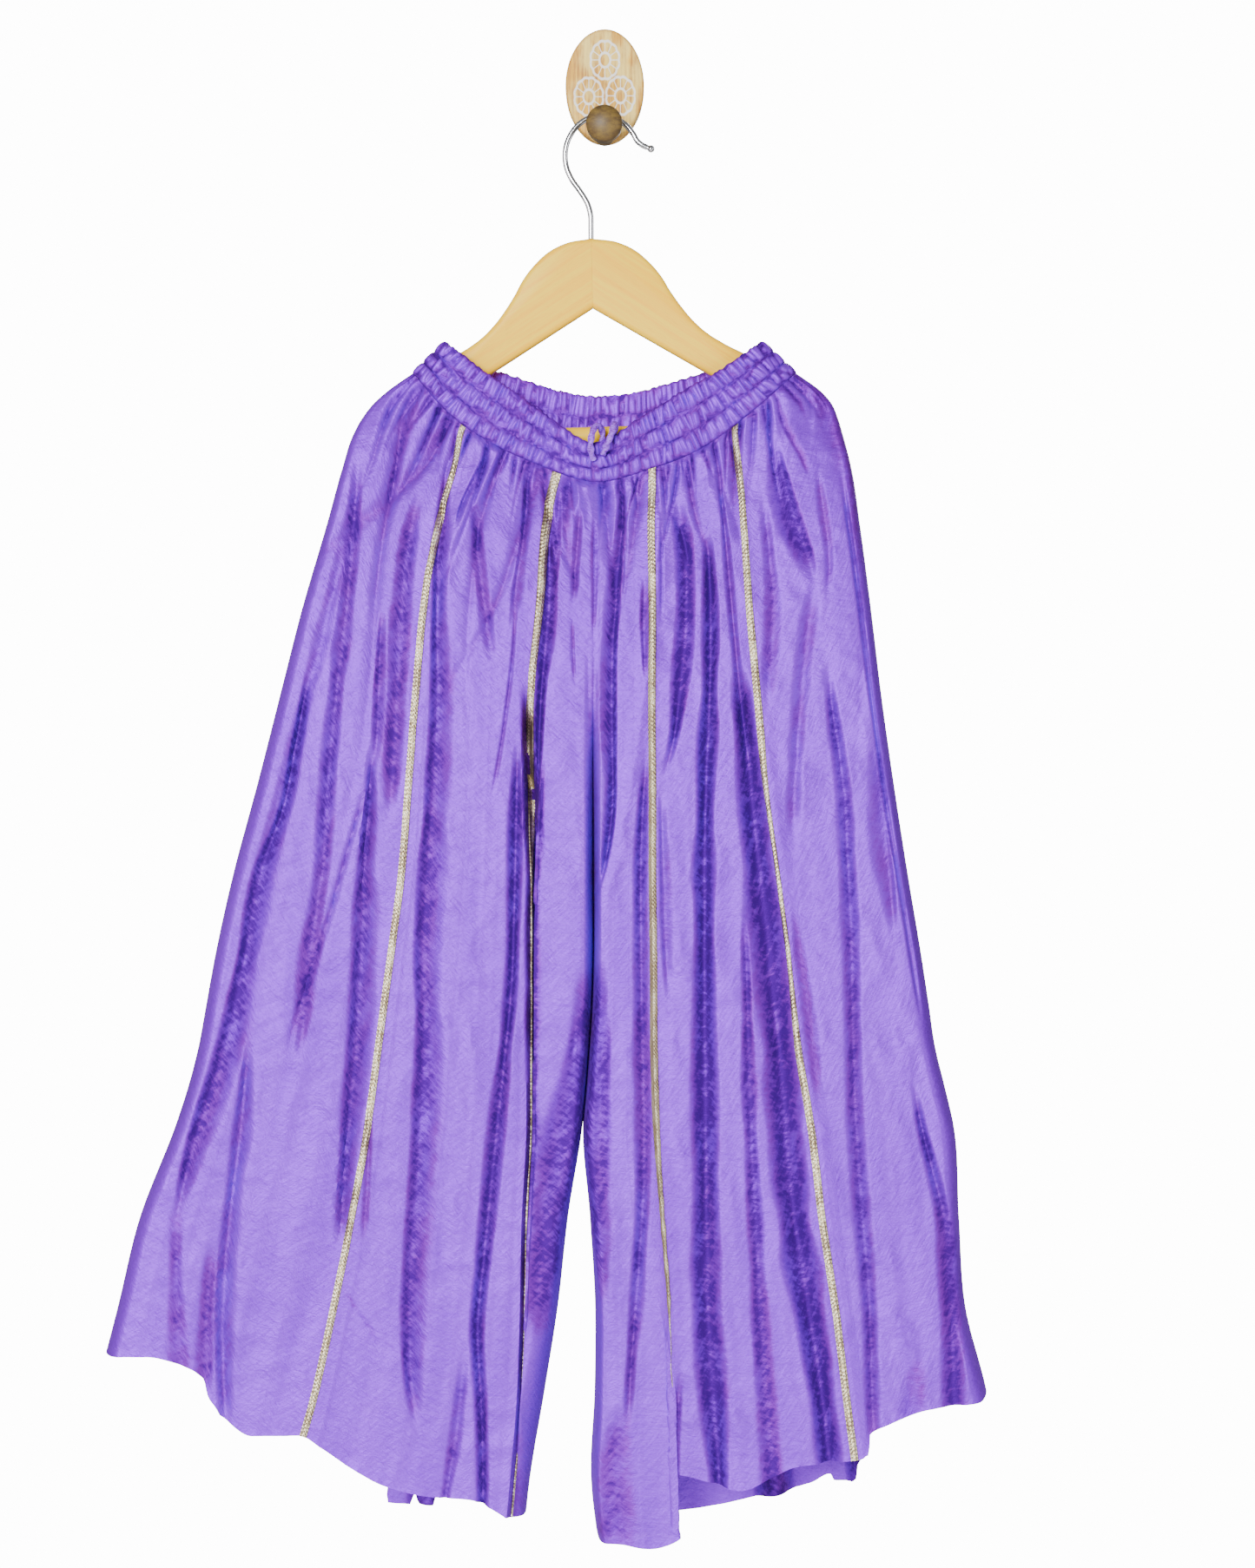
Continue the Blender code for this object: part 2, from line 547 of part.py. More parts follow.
def make_band(name, side, finish, group):
    """Half of the waistband: three stitched channels of gathered cloth raised over a plain inside."""
    toward = BANDS[side][2]
    columns = 2 * BAND_RIBS[side] + 1
    share = np.linspace(0, 1, columns)
    share = share - 0.03 * np.sin(2 * math.pi * share)
    top, low = band_points(side, share)
    normal = band_normal(side, share)
    ribs = np.where(np.arange(columns) % 2, 1.0, 0.25)
    ribs[[0, -1]] = 0
    lines = []
    for number, puff in enumerate(CHANNEL_PUFF):
        line = top + (low - top) * number / (len(CHANNEL_PUFF) - 1)
        lines.append(line + normal * (RIB_RAISE * puff * ribs)[:, None])
    lines += [low - normal * WALL, top - normal * WALL]
    lines = np.array(lines)
    depth = np.maximum(toward * (lines[..., 1] - MIDDLE_Y), SEAM_GAP / 2)
    lines[..., 1] = MIDDLE_Y + toward * depth
    lines[:, [0, -1], 1] = MIDDLE_Y + toward * SEAM_GAP / 2
    shape = bmesh.new()
    rim = [[shape.verts.new(point) for point in line] for line in lines]
    for first, second in zip(rim, rim[1:] + rim[:1]):
        for i in range(columns - 1):
            shape.faces.new((first[i], first[i + 1], second[i + 1], second[i]))
    for end in (0, -1):
        *ribbed, inner_low, inner_top = [line[end] for line in rim]
        half = len(ribbed) // 2
        for number, pair in enumerate(zip(ribbed, ribbed[1:])):
            shape.faces.new((*pair, inner_top if number < half else inner_low))
        shape.faces.new((ribbed[half], inner_low, inner_top))
    bmesh.ops.recalc_face_normals(shape, faces=shape.faces)
    mesh = bpy.data.meshes.new(name)
    shape.to_mesh(mesh)
    shape.free()
    return place_object(name, mesh, finish, group)


def tube(name, points, radius, finish, group, radii=None, sides=2):
    """Bevelled curve with filled caps through points."""
    data = bpy.data.curves.new(name, "CURVE")
    data.dimensions = "3D"
    data.bevel_depth = radius
    data.bevel_resolution = sides
    data.use_fill_caps = True
    line = data.splines.new("POLY")
    line.points.add(len(points) - 1)
    for number, (point, place) in enumerate(zip(line.points, points)):
        point.co = (*place, 1)
        point.radius = 1.0 if radii is None else radii[number]
    made = bpy.data.objects.new(name, data)
    group.objects.link(made)
    data.materials.append(finish)
    return made


def smooth_line(points, steps):
    """Evenly stepped smooth curve through route points."""
    points = np.asarray(points, float)
    length = np.concatenate([[0], np.cumsum(np.linalg.norm(np.diff(points, axis=0), axis=1))])
    at = np.linspace(0, length[-1], steps)
    return np.stack([curve_through(points[:, k], length, at) for k in range(3)], axis=1)


def make_ties(finish, group):
    for name, route in (("drawstring_l", TIE_LEFT), ("drawstring_r", TIE_RIGHT)):
        tube(name, smooth_line([(x, y, -drop) for x, y, drop in route], 15), TIE_RADIUS, finish, group)


def make_hook(finish, group):
    """Chromed wire of the hanger, with its end swollen to a ball."""
    points = smooth_line([(x, HANGER_Y, -drop) for x, drop in WIRE_LINE], 30)
    last = points[-1]
    heading = (last - points[-2]) / np.linalg.norm(last - points[-2])
    ball = [last + heading * WIRE_RADIUS * step for step in (0.6, 1.3, 2.0, 2.6)]
    radii = [1.0] * (len(points) - 1) + list(WIRE_END_RADII)
    tube("hanger_hook", list(points) + ball, WIRE_RADIUS, finish, group, radii)


def as_mesh(made):
    """Mesh copy of a curve object, with its caps welded."""
    graph = bpy.context.evaluated_depsgraph_get()
    graph.update()
    mesh = bpy.data.meshes.new_from_object(made.evaluated_get(graph))
    shape = bmesh.new()
    shape.from_mesh(mesh)
    bmesh.ops.remove_doubles(shape, verts=shape.verts, dist=1e-6)
    bmesh.ops.recalc_face_normals(shape, faces=shape.faces)
    shape.to_mesh(mesh)
    shape.free()
    copy = bpy.data.objects.new(made.name + "_mesh", mesh)
    copy.matrix_world = made.matrix_world
    for group in made.users_collection:
        group.objects.link(copy)
    name = made.name
    bpy.data.objects.remove(made)
    copy.name = name
    return copy


def flat_outline(name, points, thick, finish, group):
    """Solid slab with an outline in the upright plane, its thickness along Y."""
    data = bpy.data.curves.new(name, "CURVE")
    data.dimensions = "2D"
    data.fill_mode = "BOTH"
    data.extrude = thick / 2
    line = data.splines.new("POLY")
    line.use_cyclic_u = True
    line.points.add(len(points) - 1)
    for point, (x, z) in zip(line.points, points):
        point.co = (x, z, 0, 1)
    made = bpy.data.objects.new(name, data)
    group.objects.link(made)
    made.rotation_euler = (math.radians(90), 0, 0)
    data.materials.append(finish)
    return made


def cylinder(name, radius, length, place, axis, group, finish=None, sides=32):
    """Closed cylinder, its length centred on a place and along X, Y or Z."""
    shape = bmesh.new()
    bmesh.ops.create_cone(
        shape, cap_ends=True, segments=sides, radius1=radius, radius2=radius, depth=length
    )
    mesh = bpy.data.meshes.new(name)
    shape.to_mesh(mesh)
    shape.free()
    made = bpy.data.objects.new(name, mesh)
    group.objects.link(made)
    made.location = place
    turns = {"X": (0, math.radians(90), 0), "Y": (math.radians(90), 0, 0), "Z": (0, 0, 0)}
    made.rotation_euler = turns[axis]
    if finish:
        mesh.materials.append(finish)
    return made


def cut(made, cutter):
    cutter.hide_render = True
    cutter.display_type = "WIRE"
    boolean = made.modifiers.new("cut", "BOOLEAN")
    boolean.operation = "DIFFERENCE"
    boolean.object = cutter


def make_hanger(wood, chrome, group, cutters):
    """Two mitred arms, the bar let into their ends, and the hook in a hole on the joint."""
    pivot = bpy.data.objects.new("hanger_tilt", None)
    group.objects.link(pivot)
    pivot.location = (HANGER_X, HANGER_Y, -HANGER_TOP_DROP)
    pivot.rotation_euler = (0, -HANGER_TILT, 0)
    hole_radius = WIRE_RADIUS + TOUCH
    stem_hole = cylinder(
        "stem_hole", hole_radius, 0.024, (HANGER_X, HANGER_Y, -HANGER_TOP_DROP), "Z", cutters
    )
    pocket_radius, pocket_half = BAR_RADIUS + TOUCH, BAR_HALF + TOUCH
    pocket = cylinder(
        "bar_pocket", pocket_radius, 2 * pocket_half, (0, 0, -BAR_BELOW_TOP), "X", cutters
    )
    pocket.parent = pivot
    for name, turn in (("hanger_arm_l", -1), ("hanger_arm_r", 1)):
        points = [(turn * (max(x, TOUCH / 2)), -drop) for x, drop in ARM_TOP]
        arm = as_mesh(flat_outline(name, points, ARM_THICK, wood, group))
        arm.parent = pivot
        rounding = arm.modifiers.new("round", "BEVEL")
        rounding.width = ARM_BEVEL
        rounding.segments = 2
        rounding.limit_method = "ANGLE"
        rounding.angle_limit = math.radians(60)
        cut(arm, stem_hole)
        cut(arm, pocket)
    bar = cylinder(
        "hanger_bar", BAR_RADIUS, 2 * BAR_HALF, (0, 0, -BAR_BELOW_TOP), "X", group, wood, 24
    )
    bar.parent = pivot
    make_hook(chrome, group)


def turned(name, profile, place, finish, group, steps=24):
    """Solid turned about an axis along -Y: profile rows are radius and distance out."""
    mesh = bpy.data.meshes.new(name)
    mesh.from_pydata([(radius, 0, along) for radius, along in profile], [
        (i, i + 1) for i in range(len(profile) - 1)
    ], [])
    made = place_object(name, mesh, finish, group)
    made.location = place
    made.rotation_euler = (math.radians(90), 0, 0)
    lathe = made.modifiers.new("lathe", "SCREW")
    lathe.angle = 2 * math.pi
    lathe.steps = steps
    lathe.render_steps = steps
    lathe.use_merge_vertices = True
    lathe.merge_threshold = 0.00005
    return made


def make_wall_hook(plate_wood, dark_wood, group):
    """Oval plate on the wall, and the peg on it: a neck that carries the hanger and a round knob."""
    plate = cylinder(
        "wall_plate", 0.5, PLATE_THICK, (0, -PLATE_THICK / 2, 0), "Y", group, plate_wood, 40
    )
    for vertex in plate.data.vertices:
        vertex.co.x *= PLATE_WIDTH
        vertex.co.y *= PLATE_HEIGHT
    rounding = plate.modifiers.new("round", "BEVEL")
    rounding.width = 0.0016
    rounding.segments = 2
    rounding.limit_method = "ANGLE"
    neck_start, neck_end = -PLATE_THICK - TOUCH, KNOB_BACK_Y + TOUCH
    cylinder(
        "peg_neck", NECK_RADIUS, neck_start - neck_end,
        (0, (neck_start + neck_end) / 2, -PEG_DROP), "Y", group, dark_wood, 28,
    )
    bulge = [
        (KNOB_RADIUS * math.sin(angle), KNOB_LENGTH * (0.60 - 0.40 * math.cos(angle)))
        for angle in np.linspace(math.radians(95), math.pi, 8)
    ]
    profile = [(0, 0), (KNOB_RADIUS * 0.72, 0), (KNOB_RADIUS * 0.93, 0.0022)] + bulge
    profile[-1] = (0, profile[-1][1])
    turned("peg_knob", profile[::-1], (0, KNOB_BACK_Y, -PEG_DROP), dark_wood, group)


def main():
    clear_scene()
    parts = new_collection("sharara_trousers_on_hanger")
    cutters = new_collection("cutters", shown=False)
    satin = material("satin", VIOLET, 0.40)
    edging = material("edging", SILVER_GOLD, 0.30, 0.8)
    pale_wood = material("pale_wood", PALE_WOOD, 0.35)
    plate_wood = material("plate_wood", PLATE_WOOD, 0.60)
    dark_wood = material("dark_wood", DARK_WOOD, 0.55)
    chrome = material("chrome", CHROME, 0.15, 1.0)
    make_wall_hook(plate_wood, dark_wood, parts)
    make_hanger(pale_wood, chrome, parts, cutters)
    make_band("waistband_front", "front", satin, parts)
    make_band("waistband_back", "back", satin, parts)
    make_legs(satin, edging, parts)
    make_ties(satin, parts)


main()
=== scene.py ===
"""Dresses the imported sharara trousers, their hanger and the wall hook for the picture.

Metres, +Z up, the wall is the plane y = 0 and the front of the trousers faces -Y. Heights are
written as drops below the origin, which is the centre of the wall plate's back face. Tables that
are divided by 1000 are in millimetres.
"""

import math
import random
from collections import namedtuple

import bmesh
import bpy
import numpy as np
from mathutils import Matrix, Vector


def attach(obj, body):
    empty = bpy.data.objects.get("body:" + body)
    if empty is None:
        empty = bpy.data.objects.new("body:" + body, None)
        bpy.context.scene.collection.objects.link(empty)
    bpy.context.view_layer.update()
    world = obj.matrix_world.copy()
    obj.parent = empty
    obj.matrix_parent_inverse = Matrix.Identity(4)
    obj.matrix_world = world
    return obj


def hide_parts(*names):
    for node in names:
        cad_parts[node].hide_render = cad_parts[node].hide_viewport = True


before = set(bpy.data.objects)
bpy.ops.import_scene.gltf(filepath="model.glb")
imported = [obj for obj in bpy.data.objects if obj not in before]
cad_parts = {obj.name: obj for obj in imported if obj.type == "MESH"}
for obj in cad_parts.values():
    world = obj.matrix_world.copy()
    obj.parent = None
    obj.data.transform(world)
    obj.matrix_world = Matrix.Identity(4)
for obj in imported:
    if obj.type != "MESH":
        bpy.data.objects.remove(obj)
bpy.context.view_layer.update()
scene = bpy.context.scene


# The picture is taken level with the thighs and straight on, from 2.2 m in front of the cloth's
# middle, so that 0.55 mm of cloth fills one picture point.
PICTURE_WIDTH = 1445
POINT = 0.00055
CAMERA_AWAY = 2.2
CAMERA_PLACE = (0.0146, -2.24, -0.4481)
SENSOR_WIDTH = 36


def added(name, data):
    """A new object in the scene."""
    made = bpy.data.objects.new(name, data)
    scene.collection.objects.link(made)
    return made


camera = added("camera", bpy.data.cameras.new("camera"))
camera.location = CAMERA_PLACE
camera.rotation_euler = (math.radians(90), 0, 0)
camera.data.sensor_fit = "HORIZONTAL"
camera.data.sensor_width = SENSOR_WIDTH
camera.data.lens = SENSOR_WIDTH * CAMERA_AWAY / (PICTURE_WIDTH * POINT)
scene.camera = camera


# The wall plate is an oval of light brown wood, limed white and rubbed back at its edge, with three
# plain rosettes stencilled on it in chalk white. It lies flat on the wall.
PLATE_WIDTH = 0.0505
PLATE_HEIGHT = 0.0730
PLATE_THICK = 0.012
PLATE_ROUND = 0.0018

# Each rosette's middle, half its width and half its height. Its rings' places are shares of these.
ROSETTES = [(0.0001, 0.0164), (-0.0102, -0.0072), (0.0101, -0.0066)]
ROSETTE_WIDE = 0.0103
ROSETTE_HIGH = 0.0137
ROSETTE_PETALS = 12
ROSETTE_RIM = 0.91
ROSETTE_HUB = 0.34
ROSETTE_SCALLOP = 0.06
PLATE_LIGHT = (0.92, 0.50, 0.03, 1)
PLATE_BROWN = (0.46, 0.20, 0.035, 1)
LIME_WHITE = (1.0, 0.78, 0.22, 1)
CHALK_WHITE = (0.93, 0.92, 0.88, 1)


class Socket:
    """A shader socket that can be written in sums. Any other node comes from its node method."""

    def __init__(self, tree, socket=None):
        self.tree = tree
        self.socket = socket

    def give(self, target, value):
        if isinstance(value, Socket):
            self.tree.links.new(value.socket, target)
        else:
            target.default_value = value

    def node(self, kind, settings, inputs, output=0):
        made = self.tree.nodes.new(kind)
        for name, value in settings.items():
            setattr(made, name, value)
        for name, value in inputs.items():
            self.give(made.inputs[name], value)
        return Socket(self.tree, made.outputs[output])

    def maths(self, operation, *values):
        return self.node("ShaderNodeMath", {"operation": operation}, dict(enumerate(values)))

    def __add__(self, other):
        return self.maths("ADD", self, other)

    def __sub__(self, other):
        return self.maths("SUBTRACT", self, other)

    def __mul__(self, other):
        return self.maths("MULTIPLY", self, other)

    def __truediv__(self, other):
        return self.maths("DIVIDE", self, other)

    def __pow__(self, other):
        return self.maths("POWER", self, other)

    def __rsub__(self, other):
        return self.maths("SUBTRACT", other, self)

    def __abs__(self):
        return self.maths("ABSOLUTE", self)

    __radd__ = __add__
    __rmul__ = __mul__


def finish(name, **constants):
    """A new material, a socket to build its nodes from, and its shader's inputs."""
    made = bpy.data.materials.new(name)
    made.use_nodes = True
    shader = made.node_tree.nodes["Principled BSDF"]
    for socket, value in constants.items():
        shader.inputs[socket.replace("_", " ")].default_value = value
    return made, Socket(made.node_tree), shader.inputs


def noise(space, length, turn=0.0, detail=3.0, rough=0.5):
    """Cloudy pattern whose marks are about so long along each axis, after a turn in the plane."""
    flat = len(length) == 2
    angles, scale = ((0, 0, turn), (*length, 1)) if flat else ((0, turn, 0), length)
    given = {"Vector": space, "Rotation": angles, "Scale": scale}
    mapped = space.node("ShaderNodeMapping", {"vector_type": "TEXTURE"}, given)
    given = {"Vector": mapped, "Scale": 1.0, "Detail": detail, "Roughness": rough}
    return space.node("ShaderNodeTexNoise", {}, given)


def step(value, low, high):
    """0 below low, 1 above high, smooth between."""
    settings = {"interpolation_type": "SMOOTHSTEP"}
    return value.node("ShaderNodeMapRange", settings, {"Value": value, 1: low, 2: high})


def mix(share, first, second):
    """Colour from first to second by share."""
    settings = {"data_type": "RGBA", "clamp_factor": True}
    return share.node("ShaderNodeMix", settings, {0: share, 6: first, 7: second}, 2)


def bump(height, depth, strength=1.0):
    return height.node("ShaderNodeBump", {}, {"Height": height, "Distance": depth, "Strength": strength})


def object_space(paint):
    return paint.node("ShaderNodeTexCoord", {}, {}, "Object")


def apart_xyz(space):
    """The three numbers of a place."""
    parts = space.node("ShaderNodeSeparateXYZ", {}, {"Vector": space}).socket.node.outputs
    return [Socket(space.tree, part) for part in parts]


def coat(paint, shader, **inputs):
    """Gives a shader what varies over the piece."""
    for name, value in inputs.items():
        paint.give(shader[name.replace("_", " ")], value)


def draw_out(shape, way):
    """Draws the faces of a flat bmesh out into a slab."""
    grown = bmesh.ops.extrude_face_region(shape, geom=list(shape.faces))
    far = [item for item in grown["geom"] if isinstance(item, bmesh.types.BMVert)]
    bmesh.ops.translate(shape, vec=way, verts=far)


def mesh_of(name, shape):
    """The mesh of a bmesh, which is then let go."""
    mesh = bpy.data.meshes.new(name)
    shape.to_mesh(mesh)
    shape.free()
    return mesh


def piece(name, shape, dressed, slot, *nodes, sharp=40):
    """Makes a piece from a bmesh, dresses it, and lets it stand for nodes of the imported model."""
    mesh = mesh_of(name, shape)
    mesh.materials.append(dressed)
    mesh.shade_smooth()
    mesh.set_sharp_from_angle(angle=math.radians(sharp))
    made = added(name, mesh)
    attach(made, "root")
    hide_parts(*nodes)
    return made


limed_wood, paint, shader = finish("limed_wood", Roughness=0.62)
space = object_space(paint)
across, _, up = apart_xyz(space)
grain = noise(space, (0.0016, 0.004, 0.030), detail=5, rough=0.62)
patches = noise(space, (0.008, 0.008, 0.020), detail=3)
colour = mix(step(grain, 0.35, 0.68), PLATE_BROWN, PLATE_LIGHT)
colour = mix(step(patches + grain * 0.4, 0.58, 0.86) * 0.75, colour, LIME_WHITE)
ring = (across * (2 / PLATE_WIDTH)) ** 2 + (up * (2 / PLATE_HEIGHT)) ** 2
colour = mix(step(ring + patches * 0.25, 0.98, 1.12) * 0.45, colour, PLATE_BROWN)
chalk = None
for centre_x, centre_up in ROSETTES:
    aside = (across - centre_x) / ROSETTE_WIDE
    above = (up - centre_up) / ROSETTE_HIGH
    radius = (aside * aside + above * above) ** 0.5
    angle = paint.maths("ARCTAN2", above, aside)
    petals = abs(paint.maths("SINE", angle * (ROSETTE_PETALS / 2)))
    edge = radius + (1 - petals) * ROSETTE_SCALLOP
    rim = 1 - step(abs(edge - ROSETTE_RIM), 0.04, 0.085)
    hub = 1 - step(abs(radius - ROSETTE_HUB), 0.04, 0.08)
    spokes = (1 - step(petals * radius, 0.09, 0.19)) * step(radius, 0.32, 0.36)
    spokes = spokes * (1 - step(radius, 0.90, 0.96))
    marks = paint.maths("MAXIMUM", paint.maths("MAXIMUM", rim, hub), spokes)
    chalk = marks if chalk is None else paint.maths("MAXIMUM", chalk, marks)
chalk = chalk * step(noise(space, (0.0012, 0.0012, 0.0012), detail=2), 0.22, 0.42)
colour = mix(chalk * 0.92, colour, CHALK_WHITE)
coat(paint, shader, Base_Color=colour, Normal=bump(grain + chalk * 0.5, 0.00025, 0.7))

shape = bmesh.new()
bmesh.ops.create_circle(shape, cap_ends=True, segments=120, radius=0.5)
bmesh.ops.scale(shape, vec=(PLATE_WIDTH, PLATE_HEIGHT, 1), verts=shape.verts)
draw_out(shape, (0, 0, PLATE_THICK))
bmesh.ops.recalc_face_normals(shape, faces=shape.faces)
rim_edges = [edge for edge in shape.edges if all(v.co.z > PLATE_THICK / 2 for v in edge.verts)]
bmesh.ops.bevel(
    shape, geom=rim_edges, offset=PLATE_ROUND, segments=5, profile=0.5, affect="EDGES", material=-1
)
bmesh.ops.rotate(shape, matrix=Matrix.Rotation(math.radians(90), 3, "X"), verts=shape.verts)
piece("limed_plate", shape, limed_wood, "plate_wood", "wall_plate")


# The peg is turned from darker wood, stained olive brown: a thin neck that the hanger rests on, and
# a thick round knob with a softened rim that stops it sliding off.
PEG_DROP = 0.033
NECK_RADIUS = 0.006
KNOB_RADIUS = 0.0115
KNOB_BACK_Y = -0.0475
KNOB_BACK = [(0, 0), (0.72, 0), (0.88, 0.0009), (0.97, 0.0026)]  # share of its radius, way out
KNOB_LENGTH = 0.019
KNOB_WIDEST = 0.60
TOUCH = 0.00035
OLIVE_LIGHT = (0.19, 0.118, 0.024, 1)
OLIVE_DARK = (0.085, 0.050, 0.018, 1)

olive_wood, paint, shader = finish("olive_wood", Roughness=0.5)
space = object_space(paint)
rings = noise(space, (0.006, 0.020, 0.003), detail=5, rough=0.65)
pores = noise(space, (0.0007, 0.002, 0.0005), detail=2)
colour = mix(step(rings * 0.8 + pores * 0.2, 0.36, 0.66), OLIVE_DARK, OLIVE_LIGHT)
normal = bump(pores, 0.00012, 0.6)
coat(paint, shader, Base_Color=colour, Roughness=rings * 0.3 + 0.38, Normal=normal)


def turned(name, profile, out_y, node):
    """Piece turned about the peg's middle line, from rows of radius and distance out."""
    shape = bmesh.new()
    points = [shape.verts.new((radius, -out, 0)) for radius, out in profile]
    edges = [shape.edges.new(pair) for pair in zip(points, points[1:])]
    bmesh.ops.spin(
        shape, geom=points + edges, cent=(0, 0, 0), axis=(0, 1, 0), angle=2 * math.pi,
        steps=64, use_merge=True,
    )
    bmesh.ops.remove_doubles(shape, verts=shape.verts, dist=0.00001)
    bmesh.ops.recalc_face_normals(shape, faces=shape.faces)
    bmesh.ops.translate(shape, vec=(0, out_y, -PEG_DROP), verts=shape.verts)
    piece(name, shape, olive_wood, "dark_wood", node)


start, end = PLATE_THICK + TOUCH, -KNOB_BACK_Y - TOUCH
neck = [(0, start), (NECK_RADIUS, start), (NECK_RADIUS, end), (0, end)]
turned("peg_shank", neck, 0, "peg_neck")
knob = [(KNOB_RADIUS * share, out) for share, out in KNOB_BACK]
for angle in np.linspace(math.radians(85), math.pi, 22):
    out = KNOB_WIDEST - (1 - KNOB_WIDEST) * math.cos(angle)
    knob.append((KNOB_RADIUS * math.sin(angle), KNOB_LENGTH * out))
knob[-1] = (0, knob[-1][1])
turned("knob", knob, KNOB_BACK_Y, "peg_knob")


# The hanger is a child's one: two arms sawn from pale wood, rounded, mitred and glued at the middle,
# clear lacquered, with a turned bar let into their ends and a polished steel wire hook on the joint.
HANGER_TOP = Vector((-0.0085, -0.040, -0.1029))
HANGER_TILT = math.radians(1.6)
ARM_THICK = 0.011
ARM_ROUND = 0.0032
ARM_ALONG = math.radians(33)
MITRE_GAP = 0.00006  # too little for light to show through the joint
BAR_RADIUS = 0.0055
BAR_HALF = 0.134
BAR_BELOW_TOP = 0.1245
WIRE_RADIUS = 0.0018
WIRE_HOLE = 0.024
BALL_RADIUS = 1.32
BALL_HALF = 1.27
BALL_MIDDLE = 1.5
LINE_STEPS = 90
ARM_UPPER = np.array([
    (0, 0), (16.5, 2.7), (27, 7.7), (37, 16.5), (44, 25.3), (49, 34.1), (55, 43.2), (63, 53.4), (71, 61.1),
    (82.5, 68.8), (97, 76.5), (114, 86.5), (130, 96.6), (138.4, 103.8), (143.8, 111.7), (145.5, 122),
    (143, 131), (135, 134.5), (126, 133), (119, 123.5), (110, 111),
]) / 1000
ARM_LOWER_END = (0, 0.0440)
WIRE_LINE = np.array([
    (-8.5, 113), (-8.5, 96), (-8.7, 88), (-10.5, 81), (-15.5, 72.5), (-20.5, 65.5), (-23.7, 58.5),
    (-24.8, 52.5), (-24.5, 45.5), (-21.2, 36.5), (-15.5, 29.7), (-8.5, 25.7), (-1, 24.8), (6.5, 26.3),
    (13, 30.2), (18.2, 36.2), (20.8, 40.8), (24.2, 43.6), (27, 44.8),
]) / 1000
BIRCH_LIGHT = (1.0, 0.64, 0.02, 1)
BIRCH_GOLD = (1.0, 0.52, 0.008, 1)
BIRCH_LINE = (0.50, 0.18, 0.01, 1)


def curve_through(values, knots, at, steady=False):
    """Smooth curve through a table's values, level beyond its ends. A steady one never overshoots."""
    values = np.asarray(values, float)
    knots = np.asarray(knots, float)
    at = np.asarray(at, float)
    slopes = np.gradient(values, knots)
    if steady:
        steps = np.diff(values) / np.diff(knots)
        before, after = steps[:-1], steps[1:]
        same_way = before * after > 0
        total = np.where(same_way, before + after, 1)
        slopes[1:-1] = np.where(same_way, 2 * before * after / total, 0)
    i = np.clip(np.searchsorted(knots, at) - 1, 0, len(knots) - 2)
    width = knots[i + 1] - knots[i]
    share = np.clip((at - knots[i]) / width, 0, 1)
    rise = values[i + 1] - values[i]
    start, end = slopes[i] * width, slopes[i + 1] * width
    return (
        values[i]
        + share * start
        + share**2 * (3 * rise - 2 * start - end)
        + share**3 * (start + end - 2 * rise)
    )


def smooth_line(points, steps):
    """Evenly stepped smooth curve through route points."""
    points = np.asarray(points, float)
    length = np.concatenate([[0], np.cumsum(np.linalg.norm(np.diff(points, axis=0), axis=1))])
    at = np.linspace(0, length[-1], steps)
    return np.stack([curve_through(points[:, k], length, at) for k in range(points.shape[1])], axis=1)


def birch(name, turn):
    """Pale lacquered wood, its grain along an arm at this slope."""
    made, paint, shader = finish(
        name, Roughness=0.42, Specular_IOR_Level=0.15, Coat_Weight=0.06, Coat_Roughness=0.2
    )
    space = object_space(paint)
    streaks = noise(space, (0.070, 0.004, 0.0022), turn, detail=5, rough=0.6)
    fibre = noise(space, (0.012, 0.001, 0.0004), turn, detail=3)
    figure = noise(space, (0.120, 0.030, 0.012), turn, detail=2)
    colour = mix(step(streaks, 0.30, 0.66), BIRCH_GOLD, BIRCH_LIGHT)
    colour = mix(step(figure, 0.52, 0.72) * 0.45, colour, BIRCH_GOLD)
    colour = mix(step(fibre, 0.60, 0.74) * 0.28, colour, BIRCH_LINE)
    coat(paint, shader, Base_Color=colour, Normal=bump(fibre + streaks, 0.00008, 0.6))
    return made


tilt = Matrix.Rotation(-HANGER_TILT, 3, "Y")


def hanger_place(shape):
    """Puts a bmesh drawn about the hanger's top at its place, with the hanger's small tilt."""
    bmesh.ops.rotate(shape, matrix=tilt, verts=shape.verts)
    bmesh.ops.translate(shape, vec=HANGER_TOP, verts=shape.verts)


def rod(radius, length, turn, place, segments):
    """A round rod, drawn along Z, then turned and put in its place."""
    shape = bmesh.new()
    bmesh.ops.create_cone(
        shape, cap_ends=True, segments=segments, radius1=radius, radius2=radius, depth=length
    )
    bmesh.ops.rotate(shape, matrix=turn, verts=shape.verts)
    bmesh.ops.translate(shape, vec=place, verts=shape.verts)
    return shape


def drilled(made, radius, length, turn, place):
    """Cuts a round hole in a piece and keeps the mesh that is left."""
    drill = added("drill", mesh_of("drill", rod(radius, length, turn, place, 40)))
    hole = made.modifiers.new("hole", "BOOLEAN")
    hole.operation = "DIFFERENCE"
    hole.solver = "EXACT"
    hole.object = drill
    graph = bpy.context.evaluated_depsgraph_get()
    graph.update()
    drilled_mesh = bpy.data.meshes.new_from_object(made.evaluated_get(graph))
    made.modifiers.clear()
    made.data = drilled_mesh
    bpy.data.objects.remove(drill)


